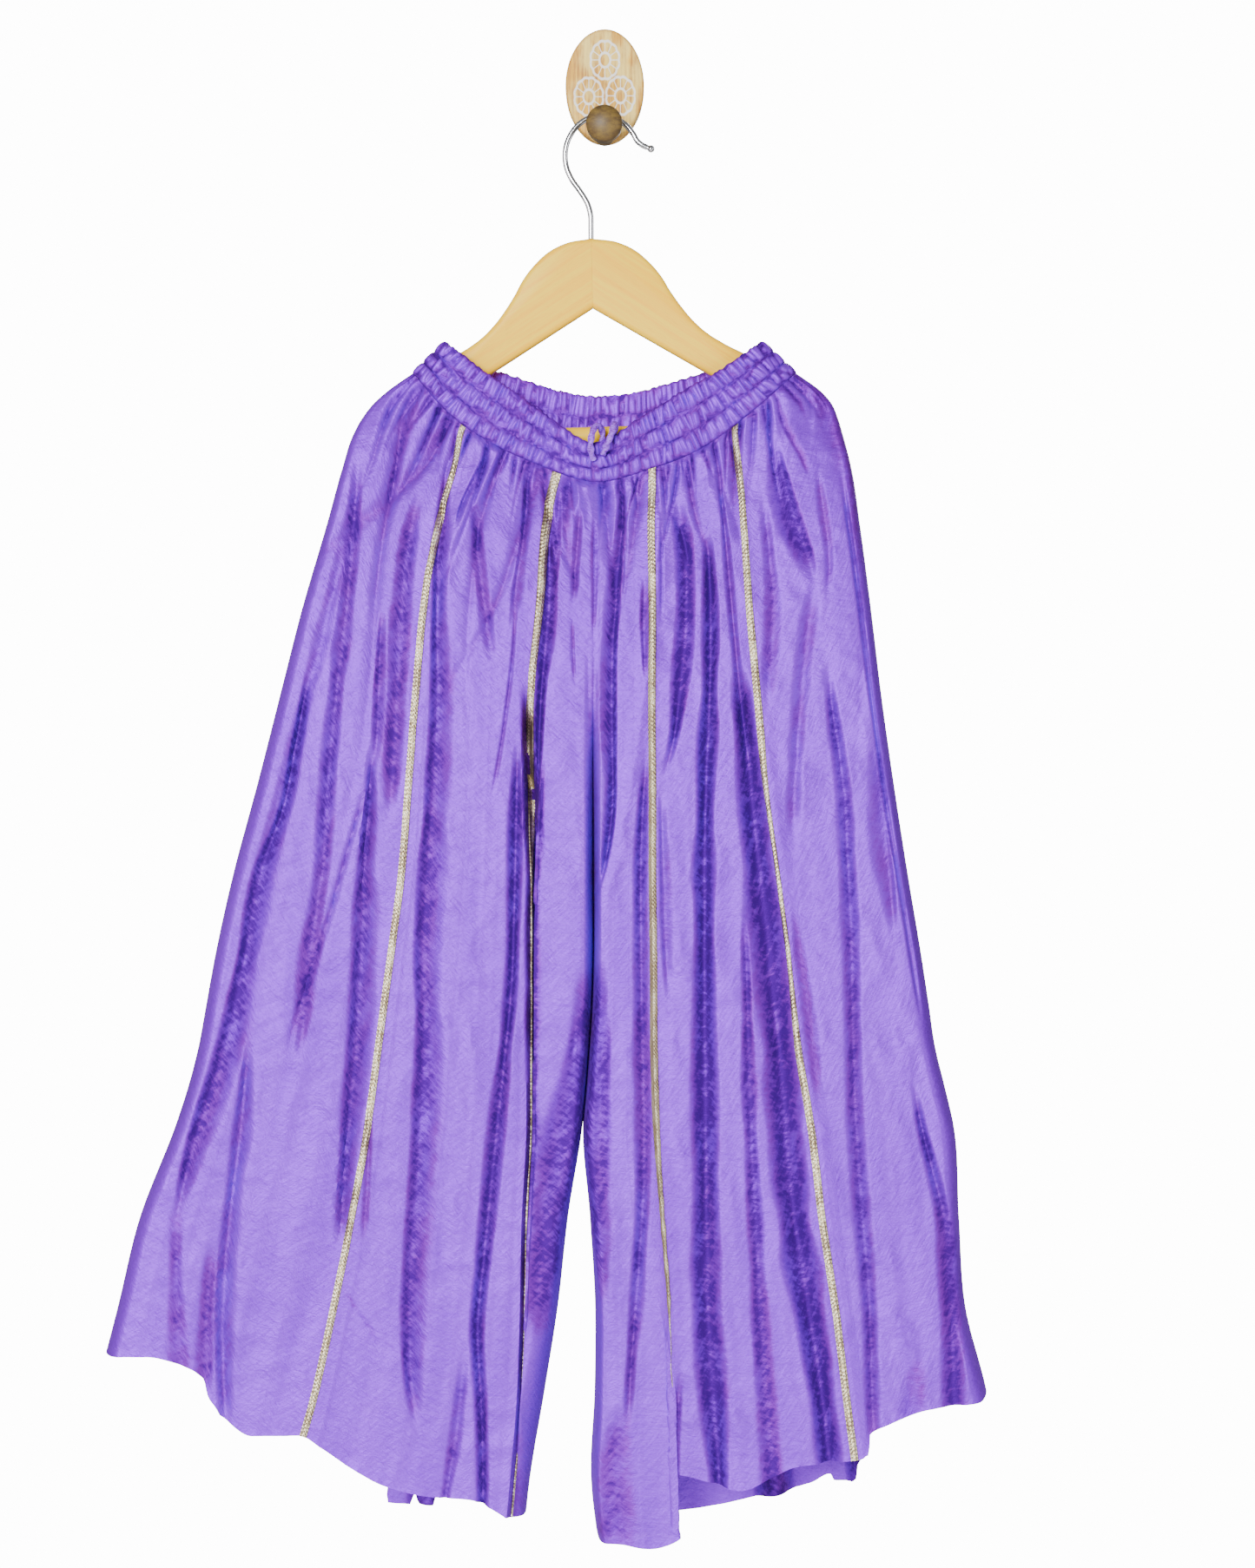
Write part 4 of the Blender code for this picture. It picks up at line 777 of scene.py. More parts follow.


# The front's folds. Several barely dip in, and are little more than a strip of painted shade.
FRONT_FOLDS = [
    fold(0.4, 0.6, (-111.5, 197, 2.2), (-123.5, 221, 3.8), (-132.1, 251, 3.2), (-138.7, 284, 2.2),
        steep="left"),
    fold(3, 0.75, (-154.4, 238, 3.8), (-156, 267, 4.9), (-158.2, 305, 5.9), (-161.4, 338, 6.5),
        (-166.3, 381, 6.5), (-171.7, 436, 6.5), (-176.1, 501, 7), (-183.7, 555, 7.6), (-188, 598, 5.4),
        (-190.2, 625, 2.7)),
    fold(3, 0.8, (-115.3, 259, 3.2), (-121.3, 289, 6.5), (-126.7, 338, 9.2), (-129.4, 387, 8.6),
        (-132.1, 436, 6.5), (-133.8, 474, 3.2)),
    fold(3, 0.75, (-138.7, 333, 2.2), (-140.8, 371, 4.3), (-141.9, 403, 4.9), (-143.5, 441, 3.2),
        steep="left"),
    fold(6, 0.78, (-145.2, 419, 2.7), (-146.8, 452, 4.9), (-150.6, 501, 7.6), (-152.8, 555, 8.6),
        (-155.5, 609, 8.1), (-160.4, 663, 8.1), (-163.6, 707, 6.5), (-165.8, 742, 3.2), steep="left"),
    fold(2, 0.45, (-146.8, 441, 2.2), (-159.8, 487, 2.2), (-171.2, 528, 2.7), (-192.4, 593, 3.2),
        (-200.5, 625, 2.2), steep="left"),
    fold(5, 0.88, (-184.2, 373, 2.2), (-192.4, 419, 3.8), (-200.5, 463, 5.4), (-214.1, 501, 8.1),
        (-224.4, 555, 9.7), (-235.8, 609, 10.3), (-251.5, 658, 9.7), (-261.3, 691, 6.5), (-267.2, 723, 3.2),
        steep="left"),
    fold(5.5, 0.5, (-221.7, 604, 3.2), (-227.6, 663, 6.5), (-234.1, 718, 6.5), (-237.9, 761, 6.5),
        (-238.5, 805, 7), (-236.8, 837, 5.4), (-234.1, 859, 2.7), steep="left"),
    fold(2.5, 0.7, (-243.9, 729, 3.2), (-247.2, 772, 5.9), (-248.2, 810, 6.5), (-247.2, 837, 4.3)),
    fold(1.5, 0.65, (-266.1, 701, 3.2), (-266.7, 734, 4.9), (-266.1, 772, 6.5), (-264.5, 805, 7),
        (-264, 848, 6.5)),
    fold(4.5, 0.8, (-98.5, 240, 2.7), (-102.9, 284, 4.9), (-105, 338, 6.5), (-104.5, 392, 7.6),
        (-106.6, 446, 9.2), (-110.4, 501, 9.7), (-113.2, 555, 10.3), (-112.6, 609, 10.8),
        (-114.8, 663, 10.8), (-118.6, 718, 9.7), (-121.8, 772, 9.2), (-121.3, 815, 7), (-117, 853, 3.2),
        steep="left"),
    fold(1.5, 0.6, (-145.7, 642, 2.7), (-147.3, 691, 3.8), (-150, 739, 2.2)),
    fold(1.2, 0.4, (-164.7, 758, 1.6), (-156, 772, 2.2), (-145.2, 788, 2.2), (-138.1, 802, 1.6)),
    fold(2.5, 0.65, (-81.7, 262, 3.8), (-79.5, 295, 5.4), (-74.6, 338, 6.5), (-69.2, 376, 2.7)),
    fold(1.2, 0.6, (-55.1, 327, 1.6), (-57.8, 371, 1.8), (-63.8, 419, 1.8), (-71.4, 463, 1.6),
        steep="left"),
    fold(2.5, 0.6, (-49.7, 243, 2.2), (-50.2, 284, 3.2), (-55.7, 327, 4.3), (-58.4, 354, 2.2),
        steep="left"),
    fold(2.5, 0.6, (-72.5, 238, 2.7), (-80.1, 254, 3.8), (-89.3, 273, 2.7), (-93.1, 289, 2.2),
        steep="left"),
    fold(5, 1.0, (6, 270, 3), (6.8, 320, 6), (6.8, 390, 6), (5.6, 450, 5), (4.4, 540, 4), along="l_fold"),
    fold(18, 1.0, (-3.5, 385, 4), (-0.5, 440, 5), (3, 500, 6.8), (4, 560, 7.4), (4, 620, 6.6),
        along="l_fold"),
    fold(18, 0.7, (4, 560, 7.4), (4, 620, 6.6), (3.4, 760, 5.8), (3, 1250, 5.5), along="l_fold"),
    fold(0.6, 1.0, (12, 420, 3), (12.8, 500, 3.8), (12.8, 620, 3.8), (12.5, 760, 3.2), along="l_fold"),
    fold(5.5, 0.88, (-54, 419, 2.2), (-55.1, 468, 4.9), (-56.2, 522, 5.4), (-57.8, 571, 4.9),
        (-61.1, 609, 4.9), (-66.5, 658, 5.9), (-70.3, 696, 6.5), (-75.2, 745, 6.5), (-79, 788, 5.9),
        (-76.8, 832, 4.9), (-75.7, 870, 4.3), (-75.7, 935, 3.8)),
    fold(2, 0.65, (-86, 794, 2.7), (-89.3, 826, 4.3), (-93.1, 859, 4.9), (-98.5, 891, 4.3),
        (-102.9, 935, 4.3)),
    fold(2.5, 0.85, (-3, 555, 4), (-4, 600, 7), (-5, 680, 8), (-5, 740, 7), (-5, 800, 4), steep="right",
        along="l_inner"),
    fold(1.5, 0.3, (-45.3, 631, 2.2), (-46.4, 707, 3.2), (-48.1, 761, 3.8), (-49.7, 826, 3.8),
        (-52.9, 875, 3.2)),
    fold(1, 0.22, (-29.6, 691, 2.2), (-30.2, 718, 3.2), (-32.9, 761, 3.8), (-36.1, 805, 2.2)),
    fold(2, 0.65, (-28.5, 257, 2.7), (-29.6, 295, 3.8), (-32.3, 333, 2.7)),
    fold(2, 0.55, (-15, 270, 2.2), (-17.1, 300, 3.2), (-19.3, 338, 2.2)),
    fold(1, 0.6, (-6.3, 273, 2.2), (-5.7, 311, 3.2), (-6.8, 360, 2.2)),
    fold(1, 0.6, (-19.8, 343, 1.4), (-19.3, 365, 1.6), (-18.2, 387, 1.4)),
    fold(1, 0.5, (-33.4, 457, 1.4), (-31.8, 476, 1.6), (-28.5, 493, 1.4)),
    fold(1.2, 0.22, (-3, 360, 3), (-2, 440, 4), (-1, 540, 4), along="l_inner"),
    fold(1.2, 0.25, (0.8, 355, 3), (1.2, 440, 4), (1.5, 560, 4), along="r_inner"),
    fold(3, 0.8, (3, 550, 4), (4, 600, 7), (5, 660, 8), (5, 720, 7), (5, 780, 4), steep="left",
        along="r_inner"),
    fold(4.5, 0.9, (12.2, 251, 2.7), (10.5, 295, 4.3), (7.3, 333, 4.9), (5.1, 371, 5.4), (5.1, 425, 5.4),
        (5.6, 457, 4.3), (1.3, 495, 3.2), (-5.2, 522, 2.2), steep="right"),
    fold(1.5, 0.7, (25.2, 316, 2.7), (24.6, 349, 4.3), (25.7, 387, 2.7), steep="left"),
    fold(3.5, 0.75, (26.3, 425, 3.2), (23, 490, 5.4), (23, 555, 5.9), (23.6, 609, 6.5), (24.6, 663, 6.5),
        (23.6, 718, 5.9), (20.3, 761, 5.4), (16.5, 815, 4.3), (14.3, 853, 2.7)),
    fold(4.5, 1.0, (44.2, 262, 3.8), (49, 289, 6.5), (51.2, 327, 7), (50.1, 360, 6.5), (47.4, 387, 5.9),
        (43.6, 419, 4.3), (36.6, 446, 2.2)),
    fold(1, 0.5, (35.5, 278, 1.6), (36, 316, 2.2), (35.5, 349, 1.6)),
    fold(2, 0.5, (34.9, 446, 2.7), (36.6, 501, 4.3), (38.2, 555, 4.9), (40.4, 588, 2.2), steep="left"),
    fold(7, 0.95, (64.2, 284, 3.2), (66.4, 333, 5.4), (65.9, 392, 6.5), (63.7, 446, 7), (62.6, 501, 7.6),
        (62.6, 555, 8.6), (62.6, 609, 8.6), (63.2, 663, 8.6), (63.7, 718, 9.2), (64.2, 772, 10.3),
        (67.5, 826, 10.3), (71.3, 880, 8.1), (72.9, 935, 6.5)),
    fold(2, 0.6, (49, 805, 2.7), (44.7, 848, 4.9), (43.6, 880, 4.9), (43.6, 935, 4.3)),
    fold(3, 0.55, (69.7, 240, 2.2), (74.5, 278, 2.7), (79.4, 333, 3.2), (84.9, 392, 4.3), (90.3, 441, 4.3)),
    fold(9, 0.95, (83.8, 371, 4.9), (91.4, 446, 10.8), (96.8, 501, 13), (103.3, 555, 11.9),
        (109.3, 609, 11.3), (113.1, 663, 12.4), (118.5, 718, 13), (127.2, 772, 11.9), (135.3, 826, 11.3),
        (141.3, 880, 8.6), (144.5, 935, 6.5)),
    fold(2, 0.85, (87, 522, 2.7), (88.7, 566, 3.8), (89.7, 609, 4.9), (91.4, 663, 5.4), (94.1, 718, 5.4),
        (96.8, 772, 7), (100.6, 826, 9.2), (104.4, 880, 9.7), (106.6, 935, 8.6)),
    fold(3.5, 1.0, (107.1, 229, 3.8), (113.1, 259, 7.6), (121.7, 289, 9.2), (128.3, 308, 7.6),
        (131.5, 324, 2.7), steep="right"),
    fold(2, 0.6, (99, 262, 3.2), (103.3, 305, 5.4), (105.5, 338, 7), (103.3, 376, 5.9), (101.1, 408, 2.7)),
    fold(2.5, 0.45, (132.6, 316, 4.3), (128.3, 343, 8.1), (123.9, 381, 6.5), (120.7, 419, 5.9),
        (118.5, 457, 5.9), (117.4, 490, 3.2)),
    fold(3.5, 0.7, (139.1, 371, 3.2), (143.4, 408, 4.9), (148.9, 446, 6.5), (152.1, 501, 7),
        (154.3, 555, 7.6), (155.4, 609, 7.6), (157, 663, 6.5), (160.8, 718, 6.5), (165.1, 772, 5.9),
        (166.8, 826, 5.9), (167.9, 870, 4.3)),
    fold(1.5, 0.55, (117.4, 517, 2.2), (122.8, 560, 4.3), (129.3, 604, 4.9), (134.8, 658, 3.2)),
    fold(3, 0.55, (167.9, 408, 3.2), (172.2, 446, 6.5), (176.5, 490, 7.6), (179.8, 522, 5.4),
        (181.4, 550, 2.7), steep="right"),
    fold(4, 0.82, (192.3, 631, 2.2), (198.2, 663, 3.8), (205.3, 691, 4.9), (211.8, 718, 5.9),
        (214.5, 745, 7.6), (216.1, 772, 8.6), (217.2, 810, 9.2), (218.3, 848, 8.6), (219.4, 902, 7.6)),
    fold(1, 0.45, (196.6, 799, 4.3), (192.3, 832, 11.9), (190.1, 880, 13)),
    fold(1, 0.65, (11.1, 826, 5.4), (6.7, 875, 13), (8.9, 935, 15.1)),
    fold(1, 0.8, (2.4, 588, 2.7), (0.8, 636, 4.9), (0.2, 680, 4.9), (1.3, 723, 3.2)),
    fold(1, 0.6, (-17.1, 582, 2.2), (-21.5, 636, 3.8), (-25.8, 680, 4.9), (-29.1, 718, 3.2)),
    fold(1.5, 0.5, (133.7, 248, 2.2), (137.5, 278, 4.9), (140.7, 305, 4.3), (139.6, 333, 2.2)),
    fold(0.8, 0.7, (107.1, 205, 2.2), (113.6, 224, 3.8), (123.9, 243, 3.2), (129.3, 257, 2.2),
        steep="left"),
    fold(1.5, 0.5, (40.4, 273, 2.2), (50.1, 295, 3.2), (54.5, 316, 2.2)),
    fold(3, 0.25, (-8.5, 250, 2.2), (-8.5, 300, 2.6), (-8.5, 450, 2.6), (-8.5, 600, 2.2), along="r_outer"),
    fold(1.5, 0.45, (14, 255, 4), (19, 330, 6), (20, 420, 7), (18, 510, 5), along="l_outer"),
]
# Behind, where nothing is seen: how deep, how dark the painted shade is and half how wide, then three
# places down it.
BACK_FOLDS = [
    fold(depth, shade, *((x, drop, wide * share) for (x, drop), share in zip(line, (0.7, 1, 1.1))))
    for depth, shade, wide, *line in [
        (12, 0.9, 13, (-140, 262), (-185, 520), (-262, 900)),
        (15.6, 0.9, 13, (-115, 250), (-150, 560), (-212, 950)),
        (10.8, 0.9, 11, (-85, 245), (-110, 470), (-133, 760)),
        (15.6, 0.9, 13, (-58, 250), (-80, 600), (-118, 960)),
        (13.2, 0.9, 12, (-30, 250), (-40, 560), (-68, 960)),
        (13.2, 0.9, 12, (20, 250), (22, 560), (30, 960)),
        (10.8, 0.9, 11, (48, 248), (60, 440), (70, 700)),
        (15.6, 0.9, 13, (80, 250), (94, 580), (112, 960)),
        (14.4, 0.9, 13, (112, 255), (136, 560), (172, 940)),
        (12, 0.9, 12, (140, 270), (165, 520), (212, 880)),
        (3.5, 0.6, 6, (-100, 250), (-112, 350), (-125, 480)),
        (3.5, 0.6, 6, (-160, 560), (-185, 700), (-205, 860)),
        (3, 0.6, 5, (-45, 250), (-52, 340), (-56, 440)),
        (3.5, 0.6, 6, (36, 250), (40, 360), (43, 500)),
        (3.5, 0.6, 6, (96, 250), (108, 360), (118, 480)),
        (4, 0.6, 7, (130, 620), (142, 740), (150, 870)),
        (3, 0.6, 6, (10, 600), (12, 720), (14, 860)),
    ]
]

# The hem's outline, seen from the front: places across and drops.
FRONT_HEM = np.array([
    (-330, 804.5), (-314.6, 805), (-285, 805), (-258, 812.2), (-249.3, 818), (-243.4, 831.7),
    (-233.6, 845.2), (-219.1, 854), (-189.9, 853.7), (-175.3, 861.8), (-158, 873.5), (-136.4, 885),
    (-109.4, 891.5), (-82.9, 893.6), (-70.5, 899), (-57.5, 906), (-7.8, 912), (-3, 920.5), (11.6, 921.5),
    (26.2, 924.1), (32.2, 919.2), (38.6, 913), (43, 897.6), (45.7, 878.1), (63, 881.9), (84.6, 887.9),
    (104, 880.3), (118.6, 873.3), (140.7, 870.6), (160.2, 868.4), (163.4, 865.7), (165.1, 853.8),
    (176.9, 847), (206.1, 836.8), (234.8, 833.4), (243, 829),
]) / 1000
BACK_HEM = np.array([
    (-330, 803), (-314.6, 802.5), (-258, 815), (-243.4, 833), (-219, 853), (-175, 862), (-150, 876),
    (-142.5, 885), (-140, 909.5), (-125, 910.5), (-121.5, 902), (-118, 908), (-109.5, 908.5), (-106, 894),
    (-54, 903), (-4, 918), (44, 915), (71.8, 911.2), (106.9, 903), (132, 897.1), (144.8, 891),
    (147.5, 895.4), (160, 895.4), (166.5, 860), (176.9, 850), (206.1, 839), (234.8, 834), (243, 829),
]) / 1000

# One row for each cut panel, in front and behind: between which outlines it lies, where round the
# waistband it is gathered on, its columns of points in front and behind, its long edges, and its
# cut: width at the hem, length, area. A long edge called seam is taped in front.
Panel = namedtuple(
    "Panel", "leg part left right band_from band_to front back left_edge right_edge cut area"
)
PANELS = [
    Panel("l", "side", "l_outer", "l_tape", 0.000, 0.178, 96, 76, "side", "seam", (0.190, 0.700), 0.100),
    Panel("l", "middle", "l_tape", "l_fold", 0.178, 0.432, 104, 90, "seam", "seam", (0.180, 0.680), 0.090),
    Panel("l", "inner", "l_fold", "l_inner", 0.432, 0.500, 50, 36, "seam", "inseam", (0.080, 0.680), 0.040),
    Panel("r", "inner", "r_inner", "r_fold", 0.500, 0.629, 54, 40, "inseam", "seam", (0.090, 0.690), 0.045),
    Panel("r", "middle", "r_fold", "r_tape", 0.629, 0.830, 96, 76, "seam", "seam", (0.180, 0.680), 0.085),
    Panel("r", "side", "r_tape", "r_outer", 0.830, 1.000, 88, 70, "seam", "side", (0.150, 0.680), 0.080),
]

# Two lips of cloth lie over a seam low down: the outline, the way the lip leans, the outline that it
# stops at, the drops at which it starts and is full, how far it reaches and how wide the fold is.
Lip = namedtuple("Lip", "along way until start full reach wide")
LIPS = [
    Lip("l_fold", -1, "l_inner", 0.330, 0.560, 0.0110, 0.027),
    Lip("r_fold", 1, "r_inner", 0.740, 0.830, 0.0135, 0.022),
]


def outline(name, drop):
    """Place across of a long seam or outline at a drop."""
    return curve_through(SECTIONS[name], SECTIONS["drop"], drop)


def fold_share(number, row, x, drop):
    """How far a place lies from a fold's bottom, 1 at its edge, how much of the fold is there, and
    how much shade is painted on it: crisp on the steeper side, feathered on the other."""
    line = curve_through(row.across, row.drops, drop)
    if row.along:
        line = line + outline(row.along, drop)
    to_left, to_right = STEEP[row.steep]
    half = np.interp(drop, row.drops, row.half) * wavering(number, FOLD_WAVES, drop, 0.8, 1.2)
    softer = np.where(x < line, to_left, to_right)
    soft = min(0.25 * (row.drops[-1] - row.drops[0]), FOLD_ENDS)
    fade = smooth_step(drop, row.drops[0], row.drops[0] + soft)
    fade = fade * (1 - smooth_step(drop, row.drops[-1] - soft, row.drops[-1]))
    away = np.abs(x - line) / (half * softer)
    return away, fade, 1 - smooth_step(away, 0.70 - 0.5 * softer, 1.3)


def stand(side, leg, x, drop):
    """How far the cloth stands out from the middle plane, and how much shade is painted on it in its folds.
    """
    full = np.interp(drop, SECTIONS["drop"], SECTIONS[side])
    outer_gap = np.abs(x - outline(leg + "_outer", drop))
    inner_gap = np.abs(x - outline(leg + "_inner", drop))
    open_rise = 1 - smooth_step(drop, RISE_START_DROP, CROTCH_DROP)
    inner_part = 1 - (1 - open_rise) * (1 - quarter_round(inner_gap, INNER_ROUND * full))
    kept, light = 1.0, 1.0
    for number, row in enumerate(FRONT_FOLDS if side == "front" else BACK_FOLDS):
        away, there, dark = fold_share(number, row, x, drop)
        dip = 0.5 * (1 + np.cos(math.pi * np.clip(away, 0, 1)))
        kept = kept * (1 - np.minimum(dip * there * row.depth / full, DEEPEST_SHARE))
        light = light * (1 - row.shade * there * dark)
    return full * quarter_round(outer_gap, OUTER_ROUND * full) * inner_part * kept, 1 - light


def panel_columns(panel, side, drop):
    """Shares across a panel at which it has a column of points at a drop."""
    width = outline(panel.right, drop) - outline(panel.left, drop)
    share = np.linspace(0, 1, getattr(panel, side) + 1)
    closer = {
        "side": 1.6,
        "inseam": 1 + 0.6 * smooth_step(drop, RISE_START_DROP, CROTCH_DROP),
    }
    share = share ** closer.get(panel.left_edge, 1)
    share = 1 - (1 - share) ** closer.get(panel.right_edge, 1)
    tape = TAPE_WIDTH / 2 / width
    if side == "front" and panel.left_edge == "seam":
        share = np.concatenate([[0], tape + (1 - tape) * share[:-1], [1]])
    if side == "front" and panel.right_edge == "seam":
        share = np.concatenate([[0], share[1:] * (1 - tape), [1]])
    return share


def between(panel, across, drop):
    left, right = outline(panel.left, drop), outline(panel.right, drop)
    return left + (right - left) * across


def panel_rows(panel, side):
    """For each row and column of a panel: place across, drop, drop below the waistband, share round
    the waistband, and height above the hem."""
    hem_x, hem_drops = (FRONT_HEM if side == "front" else BACK_HEM).T
    rows = []
    for row_share in np.linspace(0, 1, LEG_ROWS[side]) ** ROWS_CLOSER:
        across = panel_columns(panel, side, WAIST_DROP + (HEM_DROP - WAIST_DROP) * row_share)
        band_share = panel.band_from + (panel.band_to - panel.band_from) * across
        top, low = band_points(side, band_share)
        start = low + SEAM_GAP * unit(low - top)
        first_drop = -start[:, 2]
        last_drop = np.full(len(across), HEM_DROP)
        for _ in range(4):
            last_drop = curve_through(hem_drops, hem_x, between(panel, across, last_drop), steady=True)
        drop = first_drop + (last_drop - first_drop) * row_share
        pull = (1 - smooth_step(row_share, 0, 0.2)) * (start[:, 0] - between(panel, across, first_drop))
        x = between(panel, across, drop) + pull
        rows.append(np.stack([x, drop, drop - first_drop, band_share, last_drop - drop], axis=1))
    return np.array(rows)


# The gathering's pleats: how many round the waistband, how wide as a share of it, how high, how far
# down they reach and how dark the shade painted in the tucks is. Then the creases: how far apart and how
# high.
PLEATS = [
    (54, 0.0075, 0.0026, 0.014, 1.0), (30, 0.0110, 0.0044, 0.034, 0.9), (11, 0.022, 0.0040, 0.100, 0.6),
]
CREASES = [(0.011, 0.00014), (0.017, 0.00034), (0.029, 0.00065)]


def gathers(side, share, below):
    """Height of the irregular pleats that the waistband's gathering leaves in the cloth below it, and
    the shade painted in the tucks between them and as a shadow just under the waistband's edge."""
    chance = random.Random(PLEAT_CHANCE[side])
    found, dark = np.zeros_like(share), np.zeros_like(share)
    for count, wide, high, reach, shade in PLEATS:
        for number in range(count):
            centre = (number + chance.uniform(0.1, 0.9)) / count
            way = chance.choice((0.8, -1, -1.1))
            width = wide * chance.uniform(0.6, 1.3) * (1.5 if way > 0 else 0.75)
            height = high * chance.uniform(0.5, 1.1) * way
            length = reach * chance.uniform(0.4, 1.7)
            drift = chance.uniform(-0.9, 0.9)
            bend = chance.uniform(-9, 9)
            narrower = 1 - 0.6 * np.clip(below / (1.6 * length), 0, 1)
            aside = (share - centre - (drift + bend * below) * below) / (width * narrower)
            bulge = np.exp(-np.abs(aside) ** 1.7) * np.exp(-(below / length) ** 2)
            found += height * bulge
            # Shade is painted in the tucks, the pleats that dip in.
            if way < 0:
                dark = np.maximum(dark, shade * bulge)
    # A painted shadow just under the waistband's edge.
    shadow_under_band = 0.8 * np.exp(-(below / 0.0022) ** 2) * wavering(83, 120, share, 0.2, 1.0)
    return found * smooth_step(below, -0.0005, 0.004), np.maximum(dark, shadow_under_band)


def crumples(side, x, drop):
    """Height of the soft slanting creases that satin keeps from being folded and from wear."""
    chance = np.random.RandomState(CREASE_CHANCE[side])
    found = np.zeros_like(x)
    for wave, high in CREASES:
        for _ in range(5):
            turn, phase = chance.normal(-0.7, 0.40), chance.uniform(0, 2 * math.pi)
            ahead = x * math.cos(turn) + drop * math.sin(turn)
            along = drop * math.cos(turn) - x * math.sin(turn)
            bend = 0.4 * wave * np.sin(2 * math.pi * along / (2.7 * wave) + phase)
            patch = np.sin(2 * math.pi * ahead / (5.3 * wave) + 2 * phase)
            patch = patch * np.sin(2 * math.pi * along / (7.1 * wave) + 3 * phase)
            crease = 1 - np.abs(np.sin(math.pi * (ahead + bend) / wave + phase))
            found += high * smooth_step(patch, 0.05, 0.75) * (crease - 0.5)
    return found


def leg_side(side, panels):
    """Outer points, normals and inner points of one side of a leg, the shade painted on each point in
    its folds, tucks and under the waistband, and each panel's first and last column."""
    toward, leg = TOWARD[side], panels[0].leg
    blocks, spans, first = [], [], 0
    for panel in panels:
        block = panel_rows(panel, side)
        spans.append((first, first + block.shape[1]))
        first += block.shape[1] - 1
        blocks.append(block if panel is panels[0] else block[:, 1:])
    x, drop, below, band_share, above_hem = np.moveaxis(np.concatenate(blocks, axis=1), 2, 0)
    out, depth = stand(side, leg, x, drop)
    low = band_points(side, band_share[0])[1]
    seam_out = toward * (low[:, 1] - MIDDLE_Y) - SEAM_GAP / 2
    out = out + (seam_out - out[0]) * (1 - smooth_step(below, 0, WAIST_BLEND))
    pleats, tucks = gathers(side, band_share, below)
    calm = smooth_step(np.minimum(band_share, 1 - band_share), 0, SEAM_CALM)
    out = out + (pleats + crumples(side, x, drop) * smooth_step(below, 0, SEAM_CALM)) * calm
    outer_gap = np.abs(x - outline(leg + "_outer", drop))
    over_arm = smooth_step(outer_gap, 0.002, 0.006) * (1 - smooth_step(drop, *ARM_ENDS))
    out = np.maximum(out, ARM_CLEAR * over_arm)
    out[:, 0 if leg == "l" else -1] = 0
    out = out + ROLL_HIGH * (1 - smooth_step(above_hem, ROLL_WIDE * 0.6, ROLL_WIDE))
    # The painted shade of the folds and that of the tucks and under the waistband, together.
    depth = 1 - (1 - depth) * (1 - tucks)
    for lip in LIPS:
        if side == "front" and lip.along[0] == leg:
            room = np.abs(outline(lip.until, drop) - outline(lip.along, drop))
            wide = np.minimum(lip.wide, room)
            aside = -lip.way * (x - outline(lip.along, drop)) - TAPE_WIDTH / 2
            lean = np.sin(math.pi * np.clip(aside / (wide - TAPE_WIDTH / 2), 0, 1)) ** 2
            reach = lip.reach * (0.4 + 0.6 * wide / lip.wide)
            x = x + lip.way * reach * lean * smooth_step(drop, lip.start, lip.full)
    start = SEAM_GAP / 2 if side == "back" else -FRONT_LAP
    points = np.stack([x, MIDDLE_Y + toward * (start + np.maximum(out, 0)), -drop], axis=2)
    normal = outward(np.cross(np.gradient(points, axis=0), np.gradient(points, axis=1)), side)
    inner = points - WALL * normal
    kept = np.maximum(toward * (inner[..., 1] - MIDDLE_Y), start)
    inner[..., 1] = MIDDLE_Y + toward * kept
    inner[..., 0] = np.clip(inner[..., 0], x[:, :1], x[:, -1:])
    return points, normal, inner, depth, spans


def apart(points, span):
    """One panel's columns, its two long edges drawn in by half the gap at a seam."""
    across = unit(np.gradient(points, axis=1) * (1, 1, 0))
    found = points[:, span[0]:span[1]].copy()
    found[:, 0] += SEAM_GAP / 2 * across[:, span[0]]
    found[:, -1] -= SEAM_GAP / 2 * across[:, span[1] - 1]
    return found


leg_satin = satin("satin", 1.0, 0.35)
edged = {}
for side in ("front", "back"):
    for leg in (PANELS[:3], PANELS[3:]):
        points, normal, inner, depth, spans = leg_side(side, leg)
        for panel, span in zip(leg, spans):
            place = f"{panel.leg}_{side}_{panel.part}"
            made = cloth_shell(
                "panel_" + place, apart(points, span), apart(inner, span),
                depth[:, span[0]:span[1]], leg_satin, "satin", "leg_" + place,
            )
            if side == "front" and panel.right_edge == "seam":
                seam = slice(span[1] - 2, span[1] + 1)
                edged[place] = (made, panel, points[:, seam], normal[:, seam])


# The edging is narrow woven tape of silver-gold metal thread, two rows of tight loops wide, laid
# over each of the four long front seams and stitched down both its sides. Where a seam turns into a
# fold, only a share of the tape's width shows.
TAPE_LIFT = 0.0003
TAPE_THICK = 0.0006
TAPE_CROWN = 0.0003
LOOP_PITCH = 0.0026
LOOP_SLANT = 1100
CORD_ASIDE = 0.0012
GOLD_SILVER = (0.84, 0.70, 0.38, 1)
GOLD_SHADE = (0.15, 0.10, 0.06, 1)
# Colour of the painted glints.
SILVER_GLINT = (1.0, 0.97, 0.82, 1)

# The panel that each tape is sewn on, the tape, then drops with the share of its width that shows.
TAPES = [
    ("l_front_side", "l_outer", (0.19, 1.0), (0.95, 1.0)),
    ("l_front_middle", "l_inner", (0.25, 1.0), (0.43, 0.9), (0.48, 0.6), (0.51, 0.1), (0.95, 0.1)),
    ("r_front_inner", "r_inner",
        (0.25, 1.0), (0.64, 1.0), (0.70, 0.7), (0.77, 0.5), (0.79, 0.1), (0.95, 0.1)),
    ("r_front_middle", "r_outer",
        (0.21, 1.0), (0.42, 1.0), (0.46, 0.6), (0.57, 0.6), (0.62, 1.0), (0.95, 1.0)),
]

